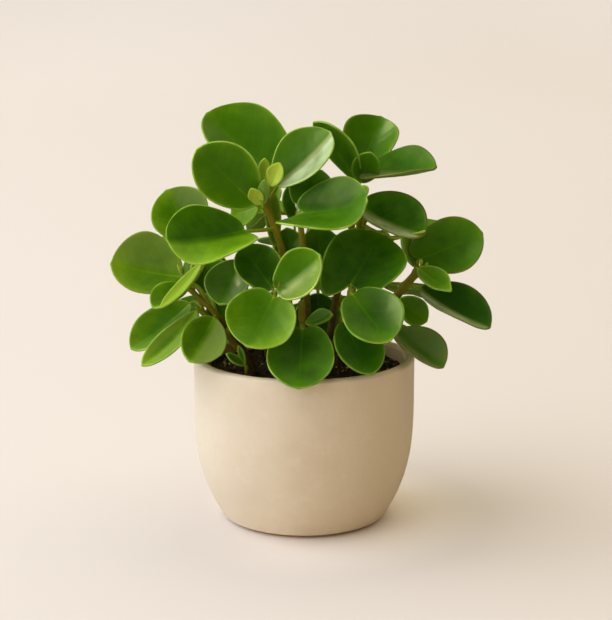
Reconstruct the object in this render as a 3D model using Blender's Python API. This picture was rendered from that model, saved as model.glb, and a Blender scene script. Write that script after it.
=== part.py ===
# Potted baby rubber plant: a matte pot, its soil, and the leafy stems that stand in the soil.
# Every length here is in millimetres and becomes metres as a mesh is made. +Z is up, the front
# faces -Y, and the origin is the centre of the pot's foot.

import math

import bpy
import numpy as np

MM = 0.001
GAP = 0.3

# Pot
POT_SIDES = 48
POT_HEIGHT = 104.0
POT_RADIUS = 70.0
BELLY_RADIUS_AT_FOOT = 51.0
SHOULDER_HEIGHT = 80.0
FOOT_HEIGHT = 1.8
FOOT_INSET = 1.5
FOOT_BEVEL = 0.6
WALL = 6.6
FLOOR = 9.0
FLOOR_ROUND = 3.0
RIM_ROUND = 2.2
RIM_STEPS = 2
OUTSIDE_HEIGHTS = (2.2, 9, 18, 32, 52, 80)
INSIDE_HEIGHTS = (80, 50, 28, 12)
SMOOTH_ANGLE = math.radians(35)

# Soil
SOIL_SIDES = 30
SOIL_LEVEL = 95.0
SOIL_RISE = 2.0
SOIL_RINGS = (0.86, 0.66, 0.42, 0.2)
SOIL_LUMP = 0.7
SOIL_GAP = 0.45
HOLE_SIDES = 8
HOLE_DEPTH = 14.0

# Stems, petioles and flower spikes
STEM_SIDES = 6
STEM_STEPS = 6
STEM_FOOT = 99.0
PETIOLE_SIDES = 4
PETIOLE_STEPS = 3
PETIOLE_ROOT = 1.35
PETIOLE_END = 1.05
PETIOLE_BEND = 0.5
SLIM = 0.7
END_CAP = 0.4
RIB_REACH = 0.2
RIB_DEPTH = 0.6
SPIKE_ROOT = 1.1
SPIKE_END = 0.6

# Blades
BLADE_THICKNESS = 1.2
BLADE_GRIDS = ((25.0, (4, 2)), (33.0, (5, 4)), (99.0, (6, 4)))
SMALL_WIDTH = 19.0
WIDEST = 1.18
ROUNDNESS = 0.52
CREASE = 0.28


def clear_scene():
    for thing in list(bpy.data.objects):
        bpy.data.objects.remove(thing, do_unlink=True)


def finish_material(name, colour, roughness):
    material = bpy.data.materials.new(name)
    material.use_nodes = True
    shader = material.node_tree.nodes["Principled BSDF"]
    shader.inputs["Base Color"].default_value = (*colour, 1.0)
    shader.inputs["Roughness"].default_value = roughness
    shader.inputs["Metallic"].default_value = 0.0
    material.diffuse_color = (*colour, 1.0)
    return material


def solid(name, points, faces, material, smooth=False):
    """One object from points in millimetres."""
    mesh = bpy.data.meshes.new(name)
    mesh.from_pydata([tuple(float(c) * MM for c in p) for p in points], [], faces)
    mesh.update()
    if smooth:
        mesh.shade_smooth()
        mesh.set_sharp_from_angle(angle=SMOOTH_ANGLE)
    mesh.materials.append(material)
    thing = bpy.data.objects.new(name, mesh)
    bpy.context.scene.collection.objects.link(thing)
    return thing


# Turned pieces

def turned(name, profile, sides, material, lump=None):
    """A closed piece turned about Z from (radius, height) points that start and end on the axis."""
    angles = np.arange(sides) * 2 * math.pi / sides
    points = [(0.0, 0.0, profile[0][1])]
    for radius, height in profile[1:-1]:
        for angle in angles:
            x, y = radius * math.cos(angle), radius * math.sin(angle)
            points.append((x, y, height + (lump(x, y, height) if lump else 0.0)))
    points.append((0.0, 0.0, profile[-1][1]))
    rings = len(profile) - 2
    last = len(points) - 1
    faces = []
    for k in range(sides):
        n = (k + 1) % sides
        faces.append((0, 1 + n, 1 + k))
        for ring in range(rings - 1):
            a, b = 1 + ring * sides, 1 + (ring + 1) * sides
            faces.append((a + k, a + n, b + n))
            faces.append((a + k, b + n, b + k))
        top = 1 + (rings - 1) * sides
        faces.append((top + k, top + n, last))
    return solid(name, points, faces, material, smooth=True)


def outer_radius(height):
    """The pot's side: a cubic curve from the foot to the shoulder, upright above it."""
    if height >= SHOULDER_HEIGHT:
        return POT_RADIUS
    return POT_RADIUS - (POT_RADIUS - BELLY_RADIUS_AT_FOOT) * (1 - height / SHOULDER_HEIGHT) ** 3


def inner_radius(height):
    return outer_radius(height) - WALL


def rounded_corner(centre_radius, centre_height, start, end):
    """Points of a quarter-round of the rim, between two angles in degrees."""
    for k in range(RIM_STEPS + 1):
        angle = math.radians(start + (end - start) * k / RIM_STEPS)
        yield (centre_radius + RIM_ROUND * math.cos(angle), centre_height + RIM_ROUND * math.sin(angle))


def make_pot():
    foot_radius = BELLY_RADIUS_AT_FOOT - FOOT_INSET
    profile = [(0.0, 0.0), (foot_radius - FOOT_BEVEL, 0.0)]
    profile += [(foot_radius, FOOT_BEVEL), (foot_radius, FOOT_HEIGHT)]
    profile += [(outer_radius(height), height) for height in OUTSIDE_HEIGHTS]
    top = POT_HEIGHT - RIM_ROUND
    profile += list(rounded_corner(POT_RADIUS - RIM_ROUND, top, 0, 90))
    profile += list(rounded_corner(POT_RADIUS - WALL + RIM_ROUND, top, 90, 180))
    profile += [(inner_radius(height), height) for height in INSIDE_HEIGHTS]
    profile += [(inner_radius(FLOOR) - FLOOR_ROUND, FLOOR), (0.0, FLOOR)]
    clay = finish_material("pot_clay", (0.62, 0.52, 0.40), 0.75)
    return turned("pot", profile, POT_SIDES, clay)


def soil_lump(x, y, height):
    """Low clods on the soil's top, fading out at its edge."""
    if height < SOIL_LEVEL:
        return 0.0
    fade = max(1 - (math.hypot(x, y) / inner_radius(SOIL_LEVEL)) ** 6, 0.0)
    clods = math.sin(0.31 * x + 1.1) * math.cos(0.27 * y) + math.sin(0.17 * (x - 2 * y))
    return SOIL_LUMP * fade * clods


def make_soil(stems):
    """The soil fills the pot and has one plain hole for each stem."""
    profile = [(0.0, FLOOR + GAP), (inner_radius(FLOOR) - FLOOR_ROUND - 1, FLOOR + GAP)]
    wall = [*reversed(INSIDE_HEIGHTS), SOIL_LEVEL]
    profile += [(inner_radius(height) - SOIL_GAP, height) for height in wall]
    edge = inner_radius(SOIL_LEVEL) - SOIL_GAP
    for share in SOIL_RINGS:
        profile.append((edge * share, SOIL_LEVEL + SOIL_RISE * (1 - share ** 2)))
    profile.append((0.0, SOIL_LEVEL + SOIL_RISE))
    earth = finish_material("soil_earth", (0.035, 0.022, 0.014), 0.95)
    soil = turned("soil", profile, SOIL_SIDES, earth, soil_lump)
    cutters = bpy.data.collections.new("stem_holes")
    bpy.context.scene.collection.children.link(cutters)
    for stem in stems:
        x, y = stem["path"][0][:2]
        radius = (stem["radii"][0] + GAP) / math.cos(math.pi / HOLE_SIDES)
        bpy.ops.mesh.primitive_cylinder_add(
            vertices=HOLE_SIDES, radius=radius * MM, depth=2 * HOLE_DEPTH * MM,
            location=(x * MM, y * MM, SOIL_LEVEL * MM))
        move_to(bpy.context.object, cutters)
    combine(soil, cutters, "DIFFERENCE")
    return soil


# Joining

def move_to(thing, collection):
    for owner in list(thing.users_collection):
        owner.objects.unlink(thing)
    collection.objects.link(thing)


def combine(thing, collection, operation):
    """One Boolean of an object with a whole collection, applied; the collection is then removed."""
    cut = thing.modifiers.new("join", "BOOLEAN")
    cut.operand_type = "COLLECTION"
    cut.collection = collection
    cut.operation = operation
    cut.solver = "EXACT"
    graph = bpy.context.evaluated_depsgraph_get()
    joined = bpy.data.meshes.new_from_object(thing.evaluated_get(graph))
    thing.modifiers.clear()
    thing.data = joined
    for tool in list(collection.objects):
        bpy.data.objects.remove(tool, do_unlink=True)
    bpy.data.collections.remove(collection)


# Stems and petioles

def unit(vector):
    return vector / np.linalg.norm(vector)


def smooth_path(points, count):
    """A Catmull-Rom curve through the points, read at even parameters."""
    points = np.array(points, float)
    padded = np.vstack([2 * points[0] - points[1], points, 2 * points[-1] - points[-2]])
    out = []
    for t in np.linspace(0, len(points) - 1, count):
        k = min(int(t), len(points) - 2)
        f = t - k
        a, b, c, d = padded[k:k + 4]
        out.append(0.5 * (2 * b + (c - a) * f + (2 * a - 5 * b + 4 * c - d) * f ** 2
                          + (3 * b - a - 3 * c + d) * f ** 3))
    return np.array(out)


def tube(name, path, radii, sides, material):
    """A closed round rod along a path, each end capped by a low point."""
    path = np.array(path, float)
    along = np.gradient(path, axis=0)
    side = unit(np.cross(along[0], (0.3, 1.0, 0.1)))
    points = [path[0] - END_CAP * radii[0] * unit(along[0])]
    for centre, direction, radius in zip(path, along, radii):
        direction = unit(direction)
        side = unit(side - direction * (side @ direction))
        other = np.cross(direction, side)
        for k in range(sides):
            angle = 2 * math.pi * k / sides
            points.append(centre + radius * (math.cos(angle) * side + math.sin(angle) * other))
    points.append(path[-1] + END_CAP * radii[-1] * unit(along[-1]))
    last = len(points) - 1
    faces = []
    for k in range(sides):
        n = (k + 1) % sides
        faces.append((0, 1 + n, 1 + k))
        for ring in range(len(path) - 1):
            a, b = 1 + ring * sides, 1 + (ring + 1) * sides
            faces.append((a + k, a + n, b + n))
            faces.append((a + k, b + n, b + k))
        top = 1 + (len(path) - 1) * sides
        faces.append((top + k, top + n, last))
    return solid(name, points, faces, material)


def stem_point(path, share):
    """A point of a sampled path, at a share of its length from 0 to 1."""
    at = share * (len(path) - 1)
    k = min(int(at), len(path) - 2)
    return path[k] + (path[k + 1] - path[k]) * (at - k)


# Blades

def blade_frame(leaf):
    """The foot, the length, and the unit vectors along, across and out of the upper face."""
    foot = np.array(leaf["foot"], float)
    chord = np.array(leaf["tip"], float) - foot
    length = np.linalg.norm(chord)
    along = chord / length
    face = np.array(leaf["face"], float)
    out = unit(face - along * (face @ along))
    return foot, length, along, np.cross(out, along), out


def blade_point(leaf, u, v):
    """The blade's middle surface at u from foot to tip and v from one edge to the other.

    Each side has its own width W, fold and lobe. Half width: W/2 * sin(pi * u^WIDEST)^ROUNDNESS. The
    edges lift by fold * (1 - fade * u) along a crease whose round is CREASE of the half width, and by
    cup * s^2 / (W/2). The middle sinks by cup * length * u * (1 - u), and the two lobes at the foot
    reach back by lobe * length * |v| * width share * (1 - u)^3.
    """
    foot, length, along, across, out = blade_frame(leaf)
    half = np.where(v < 0, leaf["width"][0], leaf["width"][1]) / 2
    share = np.clip(np.sin(math.pi * u ** WIDEST), 0, 1) ** ROUNDNESS
    s = v * share * half
    lobe = np.where(v < 0, leaf["lobe"][0], leaf["lobe"][1])
    run = length * (u - lobe * np.abs(v) * share * (1 - u) ** 3)
    c = CREASE * half
    crease = (np.sqrt(s ** 2 + c ** 2) - c) * half / (np.hypot(half, c) - c)
    fold = np.where(v < 0, leaf["fold"][0], leaf["fold"][1]) * (1 - leaf["fade"] * u)
    lift = fold * crease + leaf["cup"] * (s ** 2 / half - length * u * (1 - u))
    return foot + run[..., None] * along + s[..., None] * across + lift[..., None] * out


def blade_normal(leaf, u, v):
    step = 0.02
    u = np.clip(u, 0.06, 0.94)
    across = blade_point(leaf, u, v + step) - blade_point(leaf, u, v - step)
    ahead = blade_point(leaf, u + step, v) - blade_point(leaf, u - step, v)
    normal = np.cross(ahead, across)
    return normal / np.linalg.norm(normal, axis=-1, keepdims=True)


def blade(name, leaf, material):
    """A closed blade of even thickness, its two faces split into the same triangles.

    A blade narrower than a grid's limit has that grid's rows and columns.
    """
    steps, spans = next(grid for limit, grid in BLADE_GRIDS if max(leaf["width"]) < limit)
    rows = 0.5 - 0.5 * np.cos(math.pi * np.arange(steps + 1) / steps)
    columns = np.linspace(-1, 1, spans + 1)
    inner_u, inner_v = np.meshgrid(rows[1:-1], columns, indexing="ij")
    u = np.concatenate([[rows[0]], inner_u.ravel(), [rows[-1]]])
    v = np.concatenate([[0.0], inner_v.ravel(), [0.0]])
    middle = blade_point(leaf, u, v)
    normal = blade_normal(leaf, u, v)
    upper = middle + normal * BLADE_THICKNESS / 2
    lower = middle - normal * BLADE_THICKNESS / 2
    count = len(u)
    wide = spans + 1
    top = []
    for k in range(spans):
        top.append((0, 1 + k, 2 + k))
        end = 1 + (steps - 2) * wide
        top.append((end + k + 1, end + k, count - 1))
    for row in range(steps - 2):
        for k in range(spans):
            a = 1 + row * wide + k
            b, c, d = a + 1, a + wide, a + wide + 1
            if k < spans // 2:
                top += [(a, c, d), (a, d, b)]
            else:
                top += [(a, c, b), (b, c, d)]
    left = [0] + [1 + row * wide for row in range(steps - 1)] + [count - 1]
    right = [0] + [row * wide + wide for row in range(steps - 1)] + [count - 1]
    faces = list(top)
    faces += [tuple(count + i for i in reversed(face)) for face in top]
    for rim, turn in ((left, 1), (right, -1)):
        for a, b in zip(rim, rim[1:]):
            pair = [(a, count + a, count + b), (a, count + b, b)]
            faces += [face[::turn] for face in pair]
    return solid(name, np.vstack([upper, lower]), faces, material)


def petiole(name, start, leaf, material):
    """From inside the stem to the foot, then on under the blade as the root of its midrib."""
    foot, length, along, across, out = blade_frame(leaf)
    reach = np.linalg.norm(foot - start)
    bend = foot - along * reach * PETIOLE_BEND - out * reach * leaf["droop"]
    t = np.linspace(0, 1, PETIOLE_STEPS)[:, None]
    arch = (1 - t) ** 2 * start + 2 * t * (1 - t) * bend + t ** 2 * (foot - out * RIB_DEPTH)
    rib = blade_point(leaf, np.array([RIB_REACH]), np.zeros(1)) - out * RIB_DEPTH
    path = np.vstack([arch, rib])
    radii = np.linspace(PETIOLE_ROOT, PETIOLE_END, len(path))
    radii[-1] *= SLIM
    if max(leaf["width"]) < SMALL_WIDTH:
        radii *= SLIM
    return tube(name, path, radii, PETIOLE_SIDES, material)


def leafy_stem(stem, material):
    """A stem with its petioles and blades, joined into one body."""
    x, y = stem["path"][0][:2]
    end_point = END_CAP * stem["radii"][0]
    root = (x, y, SOIL_LEVEL - HOLE_DEPTH + GAP + end_point)
    curve = smooth_path(stem["path"], STEM_STEPS)
    path = np.vstack([[root], curve])
    radii = np.concatenate([[stem["radii"][0]], np.linspace(*stem["radii"], STEM_STEPS)])
    body = tube(stem["name"], path, radii, STEM_SIDES, material)
    parts = bpy.data.collections.new(stem["name"] + "_leaves")
    bpy.context.scene.collection.children.link(parts)
    for leaf in stem["leaves"]:
        start = stem_point(curve, leaf["at"])
        move_to(petiole("petiole", start, leaf, material), parts)
        move_to(blade("blade", leaf, material), parts)
    for spike in stem.get("spikes", ()):
        path = np.array([stem_point(curve, spike["at"]), *spike["path"]])
        radii = np.linspace(SPIKE_ROOT, SPIKE_END, len(path))
        move_to(tube("spike", path, radii, PETIOLE_SIDES, material), parts)
    combine(body, parts, "UNION")
    return body


# The plant as it grows. A leaf row is: where its petiole leaves the stem, as a share of the stem,
# the blade's foot, its tip, the way its upper face looks, its width, fold, cup, lobe, the petiole's
# droop and how the fold fades to the tip. A pair holds the two sides of the midrib.

def leaf(at, foot, tip, face, width, fold=0.2, cup=0.25, lobe=(0.1, 0.1), droop=0.1, fade=0.6):
    width = width if isinstance(width, tuple) else (width, width)
    fold = fold if isinstance(fold, tuple) else (fold, fold)
    return {"at": at, "foot": foot, "tip": tip, "face": face, "width": width, "fold": fold,
            "cup": cup, "lobe": lobe, "droop": droop, "fade": fade}


def whorl(at, centre, headings, reach, lengths, rises):
    """Leaves round a shoot: each starts reach out from the centre, on its heading, and rises."""
    leaves = []
    for heading, length, rise in zip(headings, lengths, rises):
        heading, rise = math.radians(heading), math.radians(rise)
        outward = np.array([math.cos(heading), math.sin(heading), 0.0])
        up = np.array([0.0, 0.0, 1.0])
        along = outward * math.cos(rise) + up * math.sin(rise)
        foot = np.array(centre) + outward * reach
        face = up * math.cos(rise) - outward * math.sin(rise)
        leaves.append(leaf(at, tuple(foot), tuple(foot + length * along), tuple(face), 0.82 * length))
    return leaves


def front_stems():
    """The stems that face the front, leaf by leaf."""
    return [
        {"name": "stem_crown_left", "radii": (2.5, 2.0),
         "path": [(-6, -4, STEM_FOOT), (-9, -6, 130), (-14, -10, 173), (-25, -10, 204)],
         "leaves": [
             leaf(0.98, (-19, 0, 221), (-61, 14, 255), (4, -8, 5), (52, 40), fold=0.3, lobe=(0.7, 0.1),
                  droop=0.2, fade=0.5),
             leaf(0.95, (-30, -14, 202), (-64, -26, 236), (-1, -9, 2), (40, 35), fade=0.8),
             leaf(0.97, (-18, -14, 214), (16, -10, 245), (-4, -8, 5), (37, 37), fold=(0.35, 0.15)),
             leaf(0.93, (-28, -12, 200), (-45, -8, 194), (0, -9, 6), 22),
             leaf(0.85, (-24, -2, 194), (-35, 4, 183), (1, 8, 3), 12),
             leaf(0.80, (-36, -26, 187), (-81, -48, 185), (0, -8, 7), (42, 51), fold=(0.1, 1.1),
                  lobe=(0.2, 0.5), fade=1.3),
             leaf(0.40, (-18, -4, 174), (-20, 0, 209), (4, -8, 1), 11),
             leaf(0.99, (-20, -18, 213), (-15, -18, 227), (-3, -9, 2), 11),
             leaf(1.0, (-25, -11, 212), (-24, -10, 229), (1, -9, 1), 8),
             leaf(0.97, (-26, -19, 202), (-32, -24, 212), (-3, -9, 2), 9),
             leaf(0.98, (-25, -20, 202), (-24, -20, 217), (1, 9, 1), 7),
             leaf(0.90, (-26, 8, 194), (-34, 42, 208), (0, -3, 9), 32),
         ]},
        {"name": "stem_crown_right", "radii": (2.5, 1.9),
         "path": [(14, 10, STEM_FOOT), (20, 12, 135), (29, 10, 178), (33, 8, 210)],
         "leaves": [
             leaf(0.98, (32, 8, 214), (6, 4, 250), (-7, -7, -1), (37, 14), fold=(0.0, 0.3), fade=0.3),
             leaf(1.0, (37, 15, 226), (49, 33, 252), (-1, -9, 5), (34, 36), 0.3, 0.45, (0.6, 0.6)),
             leaf(0.98, (40, 4, 221), (81, -8, 224), (0, -6, 8), (38, 34), fold=(0.2, 0.05),
                  lobe=(0.6, 0.1), fade=-3.0),
             leaf(1.0, (35, 2, 213), (41, -3, 232), (1, -9, 2), 18, fold=0.1),
             leaf(0.92, (31, 22, 197), (22, 54, 204), (0, -3, 9), 32),
         ]},
        {"name": "stem_middle", "radii": (2.3, 1.8),
         "path": [(3, -14, STEM_FOOT), (2, -16, 135), (0, -16, 170), (-3, -16, 195)],
         "leaves": [
             leaf(1.0, (-1, -27, 198), (37, -45, 207), (1, -7, 7), (46, 42), fold=(1.0, 0.2),
                  lobe=(1.2, 0.6), fade=1.35),
             leaf(0.98, (-3, -8, 199), (11, 8, 220), (-2, -9, 3), 28, fold=0.1),
             leaf(0.55, (-8, 0, 160), (-11, 6, 184), (-2, -9, 3), 20),
             leaf(0.50, (11, 4, 159), (9, 14, 184), (2, -9, 3), 24),
         ]},
        {"name": "stem_shoulder_right", "radii": (2.2, 1.6),
         "path": [(22, -4, STEM_FOOT), (28, -6, 135), (34, -8, 165), (37, -8, 192)],
         "leaves": [
             leaf(0.85, (37, -11, 199), (73, -25, 185), (1, -7, 7), (31, 40), fold=(0.45, 0.1),
                  lobe=(0.2, 0.5), fade=0.2),
             leaf(0.97, (39, -3, 193), (31, 3, 188), (0, 8, 3), 10),
         ],
         "spikes": [{"at": 0.95, "path": [(52, -18, 182), (64, -24, 184), (73, -28, 187)]}]},
        {"name": "stem_right", "radii": (3.0, 2.5),
         "path": [(34, 2, STEM_FOOT), (44, 0, 120), (58, -3, 142), (72, 0, 158)],
         "leaves": [
             leaf(1.0, (73, 2, 165), (111, -2, 182), (0, -9, 3), 36, fold=0.1, lobe=(0.1, 0.7)),
             leaf(0.98, (71, -9, 161), (88, -25, 151), (1, -8, 6), (14, 17)),
             leaf(0.97, (70, 2, 160), (64, 9, 182), (4, -8, 3), 13),
             leaf(0.80, (73, -6, 148), (115, -20, 126), (2, -7, 7), (30, 33), fold=(0.5, 0.2),
                  fade=-0.5),
             leaf(0.62, (59, -9, 141), (77, -7, 127), (0, -9, 4), 18),
             leaf(0.97, (76, 11, 158), (104, 34, 160), (2, -1, 9), 30),
         ]},
        {"name": "stem_front_right", "radii": (2.3, 1.8),
         "path": [(16, -24, STEM_FOOT), (20, -32, 122), (25, -42, 140), (28, -46, 153)],
         "leaves": [
             leaf(1.0, (28, -43, 157), (46, -17, 184), (0, -8, 7), (51, 46), fold=0.12, lobe=(0.4, 1.4),
                  fade=0.8),
             leaf(0.98, (29, -50, 152), (50, -72, 129), (1, -8, 5), (34, 39), fold=0.15,
                  lobe=(0.3, 0.3)),
             leaf(0.55, (24, -42, 134), (40, -67, 108), (2, -7, 7), 30, cup=0.15),
         ]},
        {"name": "stem_front_left", "radii": (2.3, 1.7),
         "path": [(-9, -26, STEM_FOOT), (-12, -36, 122), (-16, -44, 140), (-18, -48, 152)],
         "leaves": [
             leaf(1.0, (-19, -45, 155), (-37, -25, 177), (2, -9, 3), (30, 26), 0.12, 0.15, (0.3, 0.3)),
             leaf(1.0, (-16, -50, 155), (9, -58, 177), (-4, -8, 3), (32, 27), fold=0.1, cup=0.35,
                  lobe=(0.3, 0.3)),
             leaf(0.97, (-18, -53, 151), (-33, -73, 126), (0, -8, 6), 42, fold=0.15, lobe=(0.5, 0.5),
                  fade=0.9),
         ]},
        {"name": "stem_front_low", "radii": (2.1, 1.6),
         "path": [(3, -34, STEM_FOOT), (1, -38, 115), (-1, -40, 130), (-2, -40, 145)],
         "leaves": [
             leaf(0.7, (-1, -48, 130), (-3, -82, 103), (0, -7, 7), 40, 0.12, 0.12, (0.5, 0.5)),
             leaf(0.8, (1, -30, 131), (17, -36, 137), (0, -5, 8), 14),
         ]},
        {"name": "stem_low_right", "radii": (2.2, 1.6),
         "path": [(38, -16, STEM_FOOT), (42, -16, 106), (47, -16, 113), (52, -15, 120)],
         "leaves": [
             leaf(0.85, (57, -16, 123), (85, -34, 104), (2, -7, 7), (26, 30), fold=(0.5, 0.2),
                  fade=-0.3),
             leaf(0.95, (56, -4, 119), (78, 14, 109), (3, -1, 8), 26),
         ]},
        {"name": "stem_left", "radii": (2.1, 1.5),
         "path": [(-32, -10, STEM_FOOT), (-44, -16, 120), (-57, -20, 137), (-72, -15, 150)],
         "leaves": [
             leaf(0.75, (-76, -12, 156), (-118, -22, 166), (-1, -8, 5), (47, 33), fold=0.15,
                  lobe=(0.2, 0.2)),
             leaf(0.70, (-72, -22, 153), (-91, -38, 142), (-3, -6, 7), 21, fold=0.35, fade=0.2),
             leaf(1.0, (-71, -12, 152), (-68, -3, 168), (-1, 8, 2), 12),
             leaf(0.60, (-58, -4, 144), (-62, 1, 167), (0, -9, 3), 26),
             leaf(0.98, (-62, -27, 168), (-86, -43, 143), (-5, -7, 1), 9, fold=0.1),
             leaf(0.25, (-53, -7, 119), (-53, -3, 141), (0, -9, 2), 18),
             leaf(0.93, (-76, 3, 150), (-105, 27, 151), (-2, -1, 9), 30),
         ]},
        {"name": "stem_low_left", "radii": (2.0, 1.5),
         "path": [(-32, -24, STEM_FOOT), (-40, -24, 112), (-52, -22, 126), (-66, -17, 137)],
         "leaves": [
             leaf(0.90, (-71, -10, 139), (-107, -22, 113), (-2, -7, 7), (26, 30), fold=(0.3, 0.4),
                  fade=0.0),
             leaf(0.85, (-66, -24, 137), (-97, -50, 109), (-4, -8, 4), (14, 24), fold=(0.35, 0.3),
                  fade=0.0),
             leaf(0.70, (-55, -30, 134), (-68, -56, 113), (3, -8, 6), (25, 30), fold=(0.3, 0.2)),
             leaf(0.55, (-39, -21, 168), (-51, -38, 144), (-1, -6, 8), (30, 28)),
         ]},
        {"name": "sprout_front", "radii": (1.3, 1.0),
         "path": [(-35, -40, 98), (-35, -40, 101), (-35, -40, 103), (-35, -40, 105)],
         "leaves": [
             leaf(1.0, (-36, -41, 107), (-46, -51, 116), (3, -8, 5), 6),
             leaf(0.9, (-36, -38, 107), (-40, -33, 117), (0, -5, 5), 4),
         ]},
    ]


def back_stems():
    """The stems behind: shoots whose leaves stand round them in whorls, the lowest hanging."""
    return [
        {"name": "stem_back_left", "radii": (2.4, 1.8),
         "path": [(-20, 14, STEM_FOOT), (-34, 18, 135), (-50, 14, 160), (-66, 10, 174)],
         "leaves": [
             leaf(1.0, (-69, 5, 177), (-87, 13, 207), (-1, -9, 4), (39, 36), fold=0.15),
             *whorl(0.97, (-64, 16, 172), (165, 95), 12, (38, 40), (-5, 5)),
             *whorl(0.60, (-40, 20, 150), (100, 40), 12, (36, 34), (-15, 5)),
         ]},
        {"name": "stem_back_middle", "radii": (2.5, 1.8),
         "path": [(-2, 28, STEM_FOOT), (0, 36, 135), (3, 42, 165), (4, 44, 184)],
         "leaves": [
             leaf(0.42, (9, 24, 139), (9, 19, 104), (0, -9, 2), 34),
             leaf(0.80, (-6, 15, 187), (-4, 20, 212), (-1, -9, 3), 18),
             *whorl(1.0, (4, 44, 188), (10, 85, 160), 13, (40, 42, 40), (10, 5, 10)),
             *whorl(0.85, (4, 42, 170), (45, 125), 14, (38, 38), (-10, -10)),
             *whorl(0.6, (2, 40, 150), (80, 265), 14, (40, 26), (-30, 5)),
         ]},
        {"name": "stem_back_right", "radii": (2.5, 1.8),
         "path": [(24, 22, STEM_FOOT), (36, 30, 130), (48, 36, 155), (56, 38, 172)],
         "leaves": [
             *whorl(1.0, (56, 38, 176), (330, 35, 105), 13, (34, 38, 36), (5, 5, -10)),
             *whorl(0.6, (46, 34, 142), (0, 60, 107), 15, (38, 40, 30), (-15, -20, 8)),
         ]},
        {"name": "stem_back_low_left", "radii": (2.3, 1.7),
         "path": [(-24, 30, STEM_FOOT), (-32, 38, 113), (-40, 46, 124), (-46, 50, 130)],
         "leaves": whorl(1.0, (-46, 48, 134), (75, 140, 205), 14, (36, 38, 36), (-35, -30, -20))},
        {"name": "stem_back_low_right", "radii": (2.3, 1.7),
         "path": [(10, 38, STEM_FOOT), (16, 46, 110), (21, 52, 120), (24, 55, 126)],
         "leaves": whorl(1.0, (24, 53, 129), (20, 85, 150), 14, (34, 36, 34), (-30, -38, -25))},
    ]


def main():
    clear_scene()
    stems = front_stems() + back_stems()
    make_pot()
    make_soil(stems)
    green = finish_material("leaf_green", (0.10, 0.26, 0.03), 0.35)
    for stem in stems:
        leafy_stem(stem, green)


main()
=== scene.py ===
import itertools
import math

import bpy
import numpy as np
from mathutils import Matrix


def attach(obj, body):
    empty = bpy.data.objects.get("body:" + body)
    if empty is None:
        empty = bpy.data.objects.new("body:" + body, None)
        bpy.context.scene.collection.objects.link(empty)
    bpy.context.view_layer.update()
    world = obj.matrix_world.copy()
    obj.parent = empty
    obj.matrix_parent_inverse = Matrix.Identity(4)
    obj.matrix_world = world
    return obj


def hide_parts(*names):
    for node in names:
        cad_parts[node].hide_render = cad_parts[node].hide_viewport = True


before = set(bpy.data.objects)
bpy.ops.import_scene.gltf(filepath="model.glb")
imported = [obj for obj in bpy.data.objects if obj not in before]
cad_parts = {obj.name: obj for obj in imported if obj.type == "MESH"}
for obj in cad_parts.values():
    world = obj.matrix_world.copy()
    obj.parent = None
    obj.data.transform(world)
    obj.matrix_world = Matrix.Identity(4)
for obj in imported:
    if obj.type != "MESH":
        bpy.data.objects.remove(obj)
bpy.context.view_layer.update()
mm = 0.001
print("frame: loaded", len(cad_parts), "nodes")


# Shader maths: a wire is a node's output, and arithmetic on wires adds Math nodes
class Wire:
    def __init__(self, finish, socket):
        self.finish, self.socket = finish, socket

    def maths(self, operation, *values):
        return self.finish.add("ShaderNodeMath", {"operation": operation}, dict(enumerate(values)))

    def __add__(self, other):
        return self.maths("ADD", self, other)

    def __radd__(self, other):
        return self.maths("ADD", other, self)

    def __sub__(self, other):
        return self.maths("SUBTRACT", self, other)

    def __rsub__(self, other):
        return self.maths("SUBTRACT", other, self)

    def __mul__(self, other):
        return self.maths("MULTIPLY", self, other)

    def __truediv__(self, other):
        return self.maths("DIVIDE", self, other)

    def __pow__(self, other):
        return self.maths("POWER", self, other)

    def cosine(self):
        return self.maths("COSINE", self)

    def between(self, low, high):  # 0 at low, 1 at high, smooth in the middle
        settings = {"interpolation_type": "SMOOTHSTEP"}
        return self.finish.add("ShaderNodeMapRange", settings, {0: self, 1: low, 2: high})

    def part(self, index):  # one number of a vector
        return self.finish.add("ShaderNodeSeparateXYZ", {}, {0: self}, index)


# The nodes of a material or world, added by type, settings and socket values or wires
class Finish:
    def __init__(self, owner):
        self.owner = owner
        owner.use_nodes = True
        self.tree = owner.node_tree
        self.tree.nodes.clear()

    def add(self, kind, settings, sockets, output=0):
        node = self.tree.nodes.new(kind)
        for name, value in settings.items():
            setattr(node, name, value)
        for name, value in sockets.items():
            if isinstance(value, Wire):
                self.tree.links.new(value.socket, node.inputs[name])
            else:
                node.inputs[name].default_value = value
        return Wire(self, node.outputs[output]) if node.outputs else None

    def places(self):  # object coordinates in millimetres
        spot = self.add("ShaderNodeTexCoord", {}, {}, "Object")
        return self.add("ShaderNodeVectorMath", {"operation": "SCALE"}, {0: spot, "Scale": 1 / mm})

    def attribute(self, name):  # three numbers that each point of the mesh carries
        return self.add("ShaderNodeAttribute", {"attribute_name": name}, {}, "Vector")

    def noise(self, vector, size, detail=3.0, rough=0.5):  # size in millimetres, values about 0.5
        sockets = {"Vector": vector, "Scale": 1 / size, "Detail": detail, "Roughness": rough}
        return self.add("ShaderNodeTexNoise", {}, sockets)

    def blend(self, share, first, second):  # the first colour at share 0, the second at 1
        return self.add("ShaderNodeMix", {"data_type": "RGBA"}, {0: share, 6: first, 7: second}, 2)

    def bump(self, height, strength, depth):  # depth in millimetres
        sockets = {"Height": height, "Strength": strength, "Distance": depth * mm}
        return self.add("ShaderNodeBump", {}, sockets)

    def surface(self, **sockets):  # the surface shader, its sockets named with _ for a space
        named = {name.replace("_", " "): value for name, value in sockets.items()}
        shader = self.add("ShaderNodeBsdfPrincipled", {}, named)
        self.add("ShaderNodeOutputMaterial", {}, {"Surface": shader})
        return self.owner


def newFinish(name):
    return Finish(bpy.data.materials.new(name))


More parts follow.
